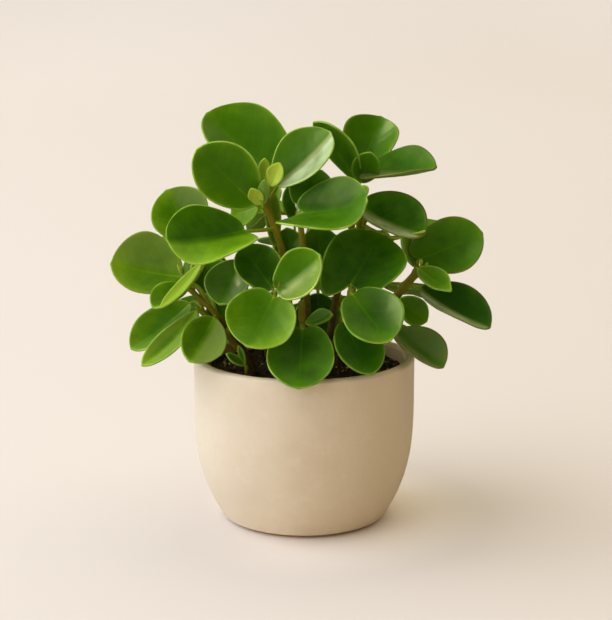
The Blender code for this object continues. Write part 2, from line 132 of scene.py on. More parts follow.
def rgb(red, green, blue):
    return (red, green, blue, 1.0)


# Mesh making. Triangles of a grid of rows that each close on themselves, between a first and a
# last single point: row r holds points 1 + r * columns onwards.
def loopTriangles(rows, columns):
    row, column = np.meshgrid(np.arange(rows - 1), np.arange(columns), indexing="ij")
    a = (1 + row * columns + column).ravel()
    b = (1 + row * columns + (column + 1) % columns).ravel()
    c, d = a + columns, b + columns
    around = np.arange(columns)
    beside = (around + 1) % columns
    top = 1 + (rows - 1) * columns
    first = np.stack([np.zeros_like(around), 1 + beside, 1 + around], 1)
    last = np.stack([np.full_like(around, top + columns), top + around, top + beside], 1)
    return np.concatenate([first, np.stack([a, b, d], 1), np.stack([a, d, c], 1), last])


# Joins parts into one object at the origin. A part is its points in millimetres, its triangles,
# its material's index and any values that its points carry for the materials.
def makePiece(name, parts, materials, nodes=()):
    counts = [len(part["points"]) for part in parts]
    starts = np.concatenate([[0], np.cumsum(counts)[:-1]])
    points = np.concatenate([part["points"] for part in parts])
    triangles = np.concatenate([part["triangles"] + start for part, start in zip(parts, starts)])
    wears = np.concatenate([np.full(len(part["triangles"]), part.get("wears", 0)) for part in parts])
    mesh = bpy.data.meshes.new(name)
    mesh.vertices.add(len(points))
    mesh.vertices.foreach_set("co", (points * mm).astype(np.float32).ravel())
    mesh.loops.add(triangles.size)
    mesh.loops.foreach_set("vertex_index", triangles.astype(np.int32).ravel())
    mesh.polygons.add(len(triangles))
    mesh.polygons.foreach_set("loop_start", np.arange(0, triangles.size, 3, dtype=np.int32))
    mesh.polygons.foreach_set("material_index", wears.astype(np.int32))
    mesh.update(calc_edges=True)
    mesh.shade_smooth()
    for key in sorted({key for part in parts for key in part.get("values", {})}):
        column = np.concatenate([
            part.get("values", {}).get(key, np.zeros((count, 3))) for part, count in zip(parts, counts)])
        layer = mesh.attributes.new(key, "FLOAT_VECTOR", "POINT")
        layer.data.foreach_set("vector", column.astype(np.float32).ravel())
    for material in materials:
        mesh.materials.append(material)
    piece = bpy.data.objects.new(name, mesh)
    bpy.context.scene.collection.objects.link(piece)
    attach(piece, "root")
    if nodes:
        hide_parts(*nodes)


# Smooth noise from -1 to 1: random values on a lattice of this cell size that repeats after 61
# cells, blended with weights f * f * (3 - 2 * f) of the share f along each side of a cell.
def latticeNoise(x, y, cell, seed):
    cells = 61
    values = np.random.default_rng(seed).uniform(-1, 1, (cells, cells))
    column, row = np.floor(x / cell).astype(int), np.floor(y / cell).astype(int)
    f, g = x / cell - column, y / cell - row
    f, g = f * f * (3 - 2 * f), g * g * (3 - 2 * g)
    corners = [values[(column + i) % cells, (row + j) % cells] for j in (0, 1) for i in (0, 1)]
    near = corners[0] * (1 - f) + corners[1] * f
    far = corners[2] * (1 - f) + corners[3] * f
    return near * (1 - g) + far * g


# A piece turned about Z: rows of a (radius, height) profile from the axis to the axis.
def turnedPoints(radius, height, sides):
    angle = np.arange(sides) * 2 * np.pi / sides
    x = radius[1:-1, None] * np.cos(angle)
    y = radius[1:-1, None] * np.sin(angle)
    z = np.broadcast_to(height[1:-1, None], x.shape)
    ends = [[(0, 0, height[0])], np.stack([x, y, z], -1).reshape(-1, 3), [(0, 0, height[-1])]]
    return np.concatenate(ends), loopTriangles(len(radius) - 2, sides)


# Points of an arc in the (radius, height) plane, angles in degrees.
def arcProfile(radius, height, size, start, end, count):
    angle = np.radians(np.linspace(start, end, count))
    return np.stack([radius + size * np.cos(angle), height + size * np.sin(angle)], 1)


# Camera, where the photo was taken from: millimetres, and degrees down
view = {"lens": 81.29, "sensor": 36.0, "place": (1.2, -867.0, 306.0), "pitch": 11.3}
cameraData = bpy.data.cameras.new("camera")
cameraData.lens = view["lens"]
cameraData.sensor_width = view["sensor"]
camera = bpy.data.objects.new("camera", cameraData)
camera.location = [c * mm for c in view["place"]]
camera.rotation_euler = (math.radians(90 - view["pitch"]), 0, 0)
bpy.context.scene.collection.objects.link(camera)
bpy.context.scene.camera = camera


# Pot. A swell of the hand-made wall is its size, its height and its seed.
pot = {
    "height": 104.0, "radius": 70.0, "footRadius": 51.0, "shoulder": 80.0, "wall": 6.6, "floor": 9.0,
    "footInset": 1.5, "footHeight": 1.8, "footRound": 0.6, "bellyHeight": 3.2, "bellyRound": 1.1,
    "rimRound": 2.2, "sides": 240, "outsideRows": 60, "insideRows": 40,
    "swells": ((23.0, 0.10, 5), (7.0, 0.03, 6)),
    "cloudSize": 34.0, "smudgeSize": 9.0, "pitSize": 5.0, "grainSize": 0.9,
    "clay": rgb(0.76, 0.62, 0.43), "shade": rgb(0.69, 0.545, 0.36), "chalk": rgb(0.80, 0.685, 0.52),
    # Among these colours are painted light for the pot's left side and painted shade for its right side
    "paintedLitSide": rgb(0.77, 0.67, 0.51), "paintedShadeSide": rgb(0.63, 0.49, 0.30), "lip": rgb(0.71, 0.55, 0.34),
    # The inner wall's colour is painted shade with some staining, and the foot's colour is painted shade
    "innerStainAndShade": rgb(0.55, 0.38, 0.17), "foot": rgb(0.42, 0.23, 0.07),
}


# The pot's side: radius - (radius - footRadius) * (1 - height / shoulder)^3, upright above it.
def potRadius(height):
    rise = np.clip(1 - height / pot["shoulder"], 0, 1) ** 3
    return pot["radius"] - (pot["radius"] - pot["footRadius"]) * rise


def potFinish():
    f = newFinish("pot_clay")
    spot = f.places()
    across, away, upwards = spot.part(0), spot.part(1), spot.part(2)
    outwards = (across * across + away * away) ** 0.5
    clouds = f.noise(spot, pot["cloudSize"], 4.0, 0.55).between(0.3, 0.7)
    smudges = f.noise(spot, pot["smudgeSize"], 5.0, 0.6).between(0.48, 0.72)
    grain = f.noise(spot, pot["grainSize"], 3.0, 0.7)
    pits = f.noise(spot, pot["pitSize"], 3.0)
    colour = f.blend(clouds * 0.7, pot["clay"], pot["shade"])
    colour = f.blend(smudges * 0.45, colour, pot["chalk"])
    colour = f.blend(grain.between(0.6, 0.75) * 0.25, colour, pot["shade"])
    # Painted light and shade: the left side is painted paler where the lamps light it, and the right
    # side darker and warmer where it lies in shade
    colour = f.blend((1 - across.between(-75, 5)) * 0.7, colour, pot["paintedLitSide"])
    colour = f.blend(across.between(-20, 50) * 0.75, colour, pot["paintedShadeSide"])
    rim = upwards.between(pot["height"] - 1.6, pot["height"] - 0.2)
    colour = f.blend(rim * 0.5, colour, pot["lip"])
    # Painted shade with some staining: the inner wall above the soil is painted dark brown
    inside = 1 - outwards.between(pot["radius"] - 5, pot["radius"] - 2.5)
    colour = f.blend(inside * upwards.between(86, 90), colour, pot["innerStainAndShade"])
    # Painted shade: the inset foot is painted dark brown, standing in for the shadow in the gap under
    # the pot's edge
    colour = f.blend(1 - upwards.between(0.8, 1.8), colour, pot["foot"])
    height = grain + pits * 3.0
    rough = 0.70 + smudges * 0.12
    return f.surface(Base_Color=colour, Roughness=rough, Normal=f.bump(height, 0.35, 0.25))


# The profile runs from the middle of the foot out, up the side, over the rim, down the inner wall
# and in over the floor. The swells move the wall in and out, and end at the foot.
def makePot():
    foot, footRound = pot["footRadius"] - pot["footInset"], pot["footRound"]
    bellyHeight, bellyRound = pot["bellyHeight"], pot["bellyRound"]
    belly = potRadius(bellyHeight)
    top = pot["height"] - pot["rimRound"]
    outside = np.linspace(bellyHeight + 1.0, top, pot["outsideRows"])
    inside = np.linspace(top, pot["floor"] + 3, pot["insideRows"])
    rim = pot["radius"] - pot["rimRound"]
    innerRim = pot["radius"] - pot["wall"] + pot["rimRound"]
    rows = np.concatenate([
        [(0, 0), (30, 0)],
        arcProfile(foot - footRound, footRound, footRound, -90, 0, 5),
        [(foot, pot["footHeight"] - 0.3), (foot + 0.3, pot["footHeight"] + 0.1)],
        arcProfile(belly - bellyRound, bellyHeight, bellyRound, -75, 0, 6),
        np.stack([potRadius(outside), outside], 1),
        arcProfile(rim, top, pot["rimRound"], 6, 84, 10),
        arcProfile(innerRim, top, pot["rimRound"], 96, 174, 10),
        np.stack([potRadius(inside) - pot["wall"], inside], 1),
        [(potRadius(pot["floor"]) - pot["wall"] - 3, pot["floor"]), (0, pot["floor"])],
    ])
    points, triangles = turnedPoints(rows[:, 0], rows[:, 1], pot["sides"])
    reach = np.hypot(points[:, 0], points[:, 1])
    turn = np.arctan2(points[:, 1], points[:, 0]) * pot["radius"]
    swell = sum(
        size * latticeNoise(turn + 300, points[:, 2], cell, seed) for cell, size, seed in pot["swells"])
    seam = np.clip((np.pi * pot["radius"] - np.abs(turn)) / 20, 0, 1)  # no step where the turn closes
    swell *= seam * np.clip((points[:, 2] - 2) / 6, 0, 1) * (reach > 20)
    points[:, :2] *= (1 + swell / np.maximum(reach, 1))[:, None]
    part = {"points": points, "triangles": triangles}
    makePiece("pot_body", [part], [potFinish()], ["pot"])


makePot()
print("pot: made")


# Soil and the crumbs that lie on it. A clod is its size, its height and its seed.
soil = {
    "level": 95.0, "rise": 2.0, "lump": 0.7, "gap": 0.45, "sides": 220, "rings": 90,
    "clods": ((8.0, 0.7, 11), (3.6, 0.8, 12), (1.7, 0.6, 13), (0.9, 0.3, 14)),
    "earth": rgb(0.040, 0.019, 0.008), "damp": rgb(0.010, 0.005, 0.003), "dry": rgb(0.10, 0.05, 0.02),
    "crumbs": 1500, "crumbSeed": 21, "crumbGap": 1.6, "crumbSize": (0.35, 0.9),
    "crumbDark": rgb(0.016, 0.008, 0.004), "crumbBrown": rgb(0.06, 0.028, 0.010),
    "barkDark": rgb(0.26, 0.10, 0.02), "barkLight": rgb(0.55, 0.34, 0.12),
    "crumbPits": rgb(0.01, 0.007, 0.005),
}


# The soil's top: a low dome, sine lumps that fade at the wall, and clods of smooth noise.
def soilTop(x, y):
    edge = potRadius(soil["level"]) - pot["wall"]
    share = np.hypot(x, y) / edge
    fade = np.clip(1 - share ** 6, 0, 1)
    lumps = np.sin(0.31 * x + 1.1) * np.cos(0.27 * y) + np.sin(0.17 * (x - 2 * y))
    clods = sum(size * latticeNoise(x + 200, y + 200, cell, seed) for cell, size, seed in soil["clods"])
    return soil["level"] + soil["rise"] * (1 - share ** 2) + soil["lump"] * fade * lumps + clods


def soilFinish():
    f = newFinish("soil_earth")
    spot = f.places()
    clods = f.noise(spot, 3.0, 5.0, 0.65).between(0.35, 0.65)
    flecks = f.noise(spot, 0.7, 2.0, 0.5).between(0.62, 0.7)
    colour = f.blend(clods, soil["damp"], soil["earth"])
    colour = f.blend(flecks * 0.7, colour, soil["dry"])
    grain = f.noise(spot, 0.5, 4.0, 0.7)
    return f.surface(Base_Color=colour, Roughness=0.82 + flecks * 0.1, Normal=f.bump(grain, 0.8, 0.5),
                     Specular_IOR_Level=0.15)


def makeSoil():
    wall = np.linspace(12, soil["level"] - 1.0, 10)
    reach = potRadius(soil["level"]) - pot["wall"] - soil["gap"]
    rings = np.linspace(1, 0, soil["rings"])[:-1] * reach
    rows = np.concatenate([
        [(0, pot["floor"] + 0.3), (potRadius(pot["floor"]) - pot["wall"] - 4, pot["floor"] + 0.3)],
        np.stack([potRadius(wall) - pot["wall"] - soil["gap"], wall], 1),
        np.stack([rings, np.full(len(rings), soil["level"])], 1),
        [(0, soil["level"])],
    ])
    points, triangles = turnedPoints(rows[:, 0], rows[:, 1], soil["sides"])
    top = points[:, 2] >= soil["level"] - 0.001
    points[top, 2] = soilTop(points[top, 0], points[top, 1])
    part = {"points": points, "triangles": triangles}
    makePiece("soil_bed", [part], [soilFinish()], ["soil"])


def crumbFinish():
    f = newFinish("soil_crumb")
    tint = f.attribute("crumbTint")
    earthy = f.blend(tint.part(1), soil["crumbDark"], soil["crumbBrown"])
    bark = f.blend(tint.part(2), soil["barkDark"], soil["barkLight"])
    colour = f.blend(tint.part(0).between(0.80, 0.82), earthy, bark)  # about one in five is bark
    grain = f.noise(f.places(), 0.4, 3.0, 0.6)
    colour = f.blend(grain * 0.4, colour, soil["crumbPits"])
    return f.surface(Base_Color=colour, Roughness=0.7 + grain * 0.2, Specular_IOR_Level=0.15)


# Bark, grit and dry fibre: many small chips of twenty faces, each of its own size, stretched, tilted
# up by tilt, turned by spin and sunk a little into the soil.
def makeCrumbs():
    rng = np.random.default_rng(soil["crumbSeed"])
    count = soil["crumbs"]
    golden = (1 + 5 ** 0.5) / 2
    corners = np.array([
        (-1, golden, 0), (1, golden, 0), (-1, -golden, 0), (1, -golden, 0),
        (0, -1, golden), (0, 1, golden), (0, -1, -golden), (0, 1, -golden),
        (golden, 0, -1), (golden, 0, 1), (-golden, 0, -1), (-golden, 0, 1),
    ]) / 1.9
    faces = np.array([
        (0, 11, 5), (0, 5, 1), (0, 1, 7), (0, 7, 10), (0, 10, 11), (1, 5, 9), (5, 11, 4), (11, 10, 2),
        (10, 7, 6), (7, 1, 8), (3, 9, 4), (3, 4, 2), (3, 2, 6), (3, 6, 8), (3, 8, 9), (4, 9, 5),
        (2, 4, 11), (6, 2, 10), (8, 6, 7), (9, 8, 1),
    ])
    reach = (potRadius(soil["level"]) - pot["wall"] - soil["crumbGap"]) * np.sqrt(rng.random(count))
    turn = rng.random(count) * 2 * np.pi
    x, y = reach * np.cos(turn), reach * np.sin(turn)
    size = soil["crumbSize"][0] + soil["crumbSize"][1] * rng.random(count) ** 3
    long, flat = rng.uniform(1.0, 2.2, count), rng.uniform(0.5, 1, count)
    stretch = np.stack([size * long, size, size * flat], 1)
    jitter = rng.uniform(0.75, 1.2, (count, len(corners), 1))
    shapes = corners[None] * jitter * stretch[:, None]
    tilt, spin = rng.uniform(-0.6, 0.6, count), rng.random(count) * 2 * np.pi
    level, raised = shapes[:, :, 0] * np.cos(tilt)[:, None], shapes[:, :, 0] * np.sin(tilt)[:, None]
    across = shapes[:, :, 1]
    turned = np.stack([
        level * np.cos(spin)[:, None] - across * np.sin(spin)[:, None] + x[:, None],
        level * np.sin(spin)[:, None] + across * np.cos(spin)[:, None] + y[:, None],
        raised + shapes[:, :, 2] + (soilTop(x, y) + size * 0.25)[:, None],
    ], -1)
    tint = np.repeat(rng.random((count, 3)), len(corners), axis=0)
    part = {
        "points": turned.reshape(-1, 3),
        "triangles": (faces[None] + len(corners) * np.arange(count)[:, None, None]).reshape(-1, 3),
        "values": {"crumbTint": tint},
    }
    makePiece("soil_crumbs", [part], [crumbFinish()])


makeSoil()
makeCrumbs()
print("soil: made with", soil["crumbs"], "crumbs")


# Blades. A pair of grid counts is for a large blade and a small one; a dimple is its size and depth.
blade = {
    "thickness": 1.2, "widest": 1.18, "roundness": 0.52, "crease": 0.28,
    "rows": (42, 26), "upper": (33, 19), "lower": (19, 11), "rim": 6, "smallWidth": 19.0,
    "wave": 0.55, "waves": 9.5, "waveShift": 2.1, "calmWidth": 60.0,
    "dimples": ((7.0, 0.16), (3.0, 0.05)), "dimpleSeed": 31,
    "veinStep": 6.5, "veinSlant": 0.75, "veinLift": 0.05, "groove": 0.20, "grooveWidth": 0.9,
    "bead": 0.10, "beadGap": 1.0, "beadWidth": 0.8, "toneReach": 5.0, "shineReach": 6.0,
    "deep": rgb(0.015, 0.070, 0.0003), "green": rgb(0.065, 0.186, 0.0010),
    "fresh": rgb(0.24, 0.42, 0.010), "new": rgb(0.50, 0.58, 0.06),
    "under": rgb(0.16, 0.28, 0.035), "underDark": rgb(0.10, 0.21, 0.02),
    # The margin colour is the leaf's own pale margin with a painted glow of light through the edge
    "marginAndPaintedGlow": rgb(0.36, 0.54, 0.06), "blush": rgb(0.10, 0.035, 0.008),
    # Painted sheen colours: a pale sheen, and a silvery painted reflection
    "paintedSheen": rgb(0.19, 0.23, 0.07), "paintedSilverSheen": rgb(0.44, 0.56, 0.26),
}


def unit(vector):
    return vector / np.linalg.norm(vector, axis=-1, keepdims=True)


# The foot, the length, and the unit vectors along, across and out of the upper face.
def bladeFrame(leaf):
    foot = np.array(leaf["foot"], float)
    chord = np.array(leaf["tip"], float) - foot
    length = np.linalg.norm(chord)
    along = chord / length
    face = np.array(leaf["face"], float)
    out = unit(face - along * (face @ along))
    return foot, length, along, np.cross(out, along), out


# Share of the full half width at u: sin(pi * u^widest)^roundness.
def bladeShare(u):
    return np.clip(np.sin(np.pi * np.clip(u, 0, 1) ** blade["widest"]), 0, 1) ** blade["roundness"]


# A leaf's value for the half of the blade where v is: the first of the pair below 0.
def ofHalf(leaf, key, v):
    return np.where(v < 0, leaf[key][0], leaf[key][1])


# A blade's middle surface, u from foot to tip and v from edge to edge. With h half the width and
# s = v * share * h, the edges lift by fold * (1 - fade * u) * (sqrt(s^2 + c^2) - c), c the crease's
# round, scaled to reach h at the widest edge, and by cup * s^2 / h. The middle sinks by
# cup * length * u * (1 - u), the lobes at the foot reach back by
# lobe * length * |v| * share * (1 - u)^3, the margin waves by a sine of u that grows with |v|^3,
# smooth noise dimples it all, and a nib stands out in the last eighth.
def bladePoint(leaf, u, v):
    foot, length, along, across, out = bladeFrame(leaf)
    half = ofHalf(leaf, "width", v) / 2
    share = bladeShare(u)
    s = v * share * half
    run = length * (u - ofHalf(leaf, "lobe", v) * np.abs(v) * share * (1 - u) ** 3)
    nibShape = np.exp(-(s / (1.0 + leaf["nib"])) ** 2) * np.clip(u * 8 - 7, 0, 1) ** 2
    run = run + leaf["nib"] * nibShape
    c = blade["crease"] * half
    crease = (np.sqrt(s ** 2 + c ** 2) - c) * half / (np.hypot(half, c) - c)
    fold = ofHalf(leaf, "fold", v) * (1 - leaf["fade"] * u)
    lift = fold * crease + leaf["cup"] * (s ** 2 / half - length * u * (1 - u))
    calm = min(1, sum(leaf["width"]) / blade["calmWidth"])  # small blades are smoother
    x, y = length * u + 100 + 40 * leaf["phase"], s + 60
    for cell, size in blade["dimples"]:
        lift = lift + size * calm * latticeNoise(x, y, cell, blade["dimpleSeed"])
    wave = leaf["wave"] * np.abs(v) ** 3 * share * half / 20
    lift = lift + wave * np.sin(blade["waves"] * u + leaf["phase"] + blade["waveShift"] * (v > 0))
    return foot + run[..., None] * along + s[..., None] * across + lift[..., None] * out


# Unit normal of the middle surface, from differences a small step away.
def bladeNormal(leaf, u, v):
    step = 0.015
    u = np.clip(u, 0.04, 0.96)
    across = bladePoint(leaf, u, v + step) - bladePoint(leaf, u, v - step)
    ahead = bladePoint(leaf, u + step, v) - bladePoint(leaf, u - step, v)
    return unit(np.cross(ahead, across))


def isSmall(leaf):
    return max(leaf["width"]) < blade["smallWidth"]


# A closed blade: at each u a loop over the upper face, round one margin, back under and round the
# other. The loop stands off the middle surface by half the thickness, with a low bead inside the
# margin, a groove over the midrib and slight swells between the lateral veins, which leave the
# midrib at a slant: a vein lies where (u * length - veinSlant * |s|) / veinStep is whole. rise goes
# from 1 above to -1 below, bulge is 1 at the margin's outermost line, and rimGap is about the
# distance from the margin in millimetres.
def bladePart(leaf):
    small = isSmall(leaf)
    rows, upper, lower = blade["rows"][small], blade["upper"][small], blade["lower"][small]
    quarter = np.radians(np.linspace(0, 90, blade["rim"] + 1))[1:-1]
    turn = np.concatenate([quarter[::-1], [0.0], -quarter])
    bend = np.sin(np.linspace(-1, 1, upper) * np.pi / 2)  # closer columns near the margins
    overV = -0.5 * (bend + np.linspace(-1, 1, upper))
    underV = np.linspace(-1, 1, lower)
    marginV = np.ones(len(turn))
    flat = np.concatenate([overV, -marginV, underV, marginV])
    rise = np.concatenate([np.ones(upper), np.sin(turn), -np.ones(lower), np.sin(turn[::-1])])
    bulge = np.concatenate([np.zeros(upper), np.cos(turn), np.zeros(lower), np.cos(turn[::-1])])
    u = 0.5 - 0.5 * np.cos(np.pi * np.arange(1, rows) / rows)[:, None]
    length = bladeFrame(leaf)[1]
    half = ofHalf(leaf, "width", flat) / 2 * bladeShare(u)
    edge = np.minimum(blade["thickness"] / 2, half * 0.5) / half  # the margin's round, as a share of v
    v = flat * (1 - edge) + np.sign(flat) * bulge * edge
    u = np.broadcast_to(u, v.shape)
    s = v * half
    sideGap = np.maximum(half - np.abs(s), 1e-3)
    endGap = length * np.minimum(u, 1 - u) * 1.1 + 1e-3
    rimGap = 1 / np.sqrt(1 / sideGap ** 2 + 1 / endGap ** 2)
    vein = (u * length - blade["veinSlant"] * np.abs(s)) / blade["veinStep"]
    inner = np.clip(rimGap / 5, 0, 1) * np.clip(np.abs(s) / 4, 0, 1)
    bead = blade["bead"] * np.exp(-((rimGap - blade["beadGap"]) / blade["beadWidth"]) ** 2)
    swell = -blade["veinLift"] * np.cos(2 * np.pi * vein) * inner
    groove = -blade["groove"] * np.exp(-(s / blade["grooveWidth"]) ** 2) * (1 - u) ** 0.5
    offset = rise * blade["thickness"] / 2 + rise * bead * (1 - bulge)
    offset = offset + np.where(rise > 0, rise * (swell + groove), rise * swell * -0.5)
    middle, normal = bladePoint(leaf, u, v), bladeNormal(leaf, u, v)
    loops = middle + normal * offset[..., None]
    foot, tip = bladePoint(leaf, np.array([0.0, 1.0]), np.zeros(2))
    points = np.concatenate([[foot], loops.reshape(-1, 3), [tip]])
    away = np.clip(np.abs(s) / blade["toneReach"], 0, 1)
    # Painted sheen on each half, as the row gives it
    paintedSheen = ofHalf(leaf, "paintedSheen", v) * away
    # The tone is partly the leaf's own colour and partly painted light and shade; what each half adds is
    # painted light and shade
    toneAndPaintedShading = leaf["toneAndPaintedShading"] + ofHalf(leaf, "half", v) * away
    shine = ofHalf(leaf, "shine", v) * (rise > 0) * np.clip(np.abs(s) / blade["shineReach"], 0, 1)
    none = np.zeros(v.shape)
    place = np.stack([vein, np.abs(s), rimGap], -1).reshape(-1, 3)
    side = np.stack([rise * 0.5 + 0.5 + none, paintedSheen, u], -1).reshape(-1, 3)
    look = np.stack([toneAndPaintedShading, leaf["blush"] + none, leaf["rim"] + none], -1).reshape(-1, 3)
    gloss = np.stack([shine, none, none], -1).reshape(-1, 3)
    ends, ownLook = [[0, 0, 0]], [[leaf["toneAndPaintedShading"], leaf["blush"], leaf["rim"]]]
    return {
        "points": points, "triangles": loopTriangles(rows - 1, len(flat)), "wears": 0,
        "values": {
            "bladePlace": np.concatenate([ends, place, ends]),
            "bladeSide": np.concatenate([[[0.5, 0, 0]], side, [[0.5, 0, 1]]]),
            "bladeLook": np.concatenate([ownLook, look, ownLook]),
            "bladeShine": np.concatenate([ends, gloss, ends]),
        },
    }


def bladeFinish():
    f = newFinish("leaf_green")
    spot = f.places()
    place, side, look = f.attribute("bladePlace"), f.attribute("bladeSide"), f.attribute("bladeLook")
    veinPhase, ribGap, rimGap = place.part(0), place.part(1), place.part(2)
    upper, paintedSheen, run = side.part(0), side.part(1), side.part(2)
    toneAndPaintedShading, blush, rim = look.part(0), look.part(1), look.part(2)
    clouds = f.noise(spot, 13.0, 3.0, 0.5)
    cells = f.noise(spot, 1.1, 3.0, 0.6)
    # The tone sets the green: partly the leaf's own colour, partly painted light and shade
    fresh = toneAndPaintedShading * 0.5 - 0.06 + (clouds - 0.5) * 0.8 + (cells - 0.5) * 0.18 + (run - 0.5) * 0.2
    # Lighter toward the margin: the leaf's own paler margin, and in the first few millimetres partly a
    # painted glow of light through the edge
    fresh = fresh + (1 - rimGap.between(0.3, 3.5)) * 0.16 + (1 - rimGap.between(1.0, 11.0)) * 0.22
    veinLine = (veinPhase * (2 * math.pi)).cosine().between(0.90, 1.0) * rimGap.between(1.0, 6.0)
    ribLine = (1 - ribGap.between(0.2, 0.9)) * (1 - run)
    fresh = fresh + veinLine * 0.08 + ribLine * 0.3
    colour = f.blend(fresh.between(-0.7, 0.15), blade["deep"], blade["green"])
    colour = f.blend(fresh.between(0.0, 1.0), colour, blade["fresh"])
    colour = f.blend(toneAndPaintedShading.between(2.4, 3.4), colour, blade["new"])
    # Painted sheen: the marked halves are painted paler, and silvery past 1, standing in for the glossy
    # reflection of the bright room
    paintedSheen = paintedSheen * (f.noise(spot, 10.0, 2.0) * 0.9 + 0.55)
    colour = f.blend(paintedSheen, colour, blade["paintedSheen"])
    colour = f.blend(paintedSheen.between(1.0, 2.0), colour, blade["paintedSilverSheen"])
    below = f.blend(cells * 0.5 + veinLine * 0.3, blade["under"], blade["underDark"])
    colour = f.blend(upper.between(0.35, 0.65), below, colour)
    # The margin's colour: the leaf's own pale margin and partly a painted glow of light through the lit
    # edges, as strong as each leaf's rim number
    marginAndPaintedGlow = 1 - rimGap.between(0.25, 1.0)
    patches = f.noise(spot, 9.0, 2.0).between(0.35, 0.65) * 0.7 + 0.45
    colour = f.blend(marginAndPaintedGlow * rim * patches, colour, blade["marginAndPaintedGlow"])
    colour = f.blend((1 - rimGap.between(0.4, 1.2)) * blush, colour, blade["blush"])
    height = cells * 0.6 + f.noise(spot, 0.45, 2.0) * 0.4 + veinLine * 0.5
    height = height + f.noise(spot, 9.0, 1.0) * 9.0
    rough = 0.34 + (clouds - 0.5) * 0.12 + (1 - upper.between(0.3, 0.7)) * 0.15
    gloss = f.attribute("bladeShine").part(0)
    return f.surface(
        Base_Color=colour, Roughness=rough, Normal=f.bump(height, 0.12, 0.12), IOR=1.45,
        Specular_IOR_Level=0.15, Coat_Weight=gloss, Coat_Roughness=0.27, Coat_IOR=1.5,
        Specular_Tint=rgb(0.85, 1.0, 0.62), Subsurface_Weight=0.08,
        Subsurface_Radius=(0.8, 1.5, 0.1), Subsurface_Scale=0.0012)


# Stalks: stems, petioles with the midrib that goes on under the blade, flower spikes and buds
stalk = {
    "stemSides": 20, "stemSteps": 46, "petioleSides": 12, "petioleSteps": 15, "ribSteps": 14,
    "root": 1.35, "end": 1.05, "bend": 0.5, "ribDepth": 0.6, "slim": 0.7, "joint": 0.55,
    "buried": (84.0, 90.0, 95.0), "scars": (0.12, 0.9, 0.17), "flutes": 5, "flute": 0.035,
    "spikeSides": 10, "spikeSteps": 24, "spikeRadii": (1.1, 0.7), "budSides": 10, "budSteps": 12,
    # The bark colour is the stems' own brown, painted darker as shade low among the leaves
    "bark": rgb(0.075, 0.043, 0.004), "stem": rgb(0.19, 0.165, 0.006),
    "petiole": rgb(0.22, 0.31, 0.014), "bud": rgb(0.44, 0.52, 0.06),
    "white": rgb(0.62, 0.70, 0.50), "dark": rgb(0.025, 0.085, 0.003),
    "streak": rgb(0.075, 0.050, 0.005),
}


# A Catmull-Rom curve through the points, read at even steps of its parameter.
def smoothPath(points, count):
    points = np.array(points, float)
    padded = np.vstack([2 * points[0] - points[1], points, 2 * points[-1] - points[-2]])
    t = np.linspace(0, len(points) - 1, count)
    k = np.minimum(t.astype(int), len(points) - 2)
    f = (t - k)[:, None]
    a, b, c, d = padded[k], padded[k + 1], padded[k + 2], padded[k + 3]
    return 0.5 * (2 * b + (c - a) * f + (2 * a - 5 * b + 4 * c - d) * f ** 2
                  + (3 * b - a - 3 * c + d) * f ** 3)


def pathPoint(path, share):
    at = share * (len(path) - 1)
    k = min(int(at), len(path) - 2)
    return path[k] + (path[k + 1] - path[k]) * (at - k)


# What the points of a rod carry for its material: its age, from 0 for bark to 1 for a bud, and how
# white it is, or below 0 how dark.
def stalkValues(age, white=0.0):
    return np.stack([age, 0 * age, white + 0 * age], 1)


# A rod: a circle of the given radii carried along a path, its sides kept from twisting, with three
# more rings round each end. The circle's radius varies by flute * cos(flutes * angle).
def rodPart(path, radii, sides, values, flute=0.0):
    capAngle = np.radians([75, 50, 25])
    ahead = unit(np.gradient(path, axis=0))
    tipPoints = path[-1] + radii[-1] * np.cos(capAngle)[:, None] * ahead[-1]
    rootPoints = path[0] - radii[0] * np.cos(capAngle[::-1])[:, None] * ahead[0]
    endRadii = np.sin(capAngle)
    centres = np.vstack([rootPoints, path, tipPoints])
    reach = np.concatenate([radii[0] * endRadii[::-1], radii, radii[-1] * endRadii])
    ahead = np.vstack([np.repeat(ahead[:1], 3, 0), ahead, np.repeat(ahead[-1:], 3, 0)])
    side = unit(np.cross(ahead[0], (0.3, 1.0, 0.1)))
    sideways = []
    for direction in ahead:
        side = unit(side - direction * (side @ direction))
        sideways.append(side)
    sideways = np.array(sideways)
    other = np.cross(ahead, sideways)
    angle = np.arange(sides) * 2 * np.pi / sides
    ring = 1 + flute * np.cos(stalk["flutes"] * angle)
    circle = sideways[:, None] * np.cos(angle)[:, None] + other[:, None] * np.sin(angle)[:, None]
    body = centres[:, None] + circle * (reach[:, None] * ring)[..., None]
    first, last = centres[0] - 0.1 * radii[0] * ahead[0], centres[-1] + 0.1 * radii[-1] * ahead[-1]
    column = np.concatenate([np.repeat(values[:1], 3, 0), values, np.repeat(values[-1:], 3, 0)])
    column = np.repeat(column, sides, axis=0)
    return {
        "points": np.concatenate([[first], body.reshape(-1, 3), [last]]),
        "triangles": loopTriangles(len(centres), sides), "wears": 1,
        "values": {"stalkAge": np.concatenate([column[:1], column, column[-1:]])},
    }


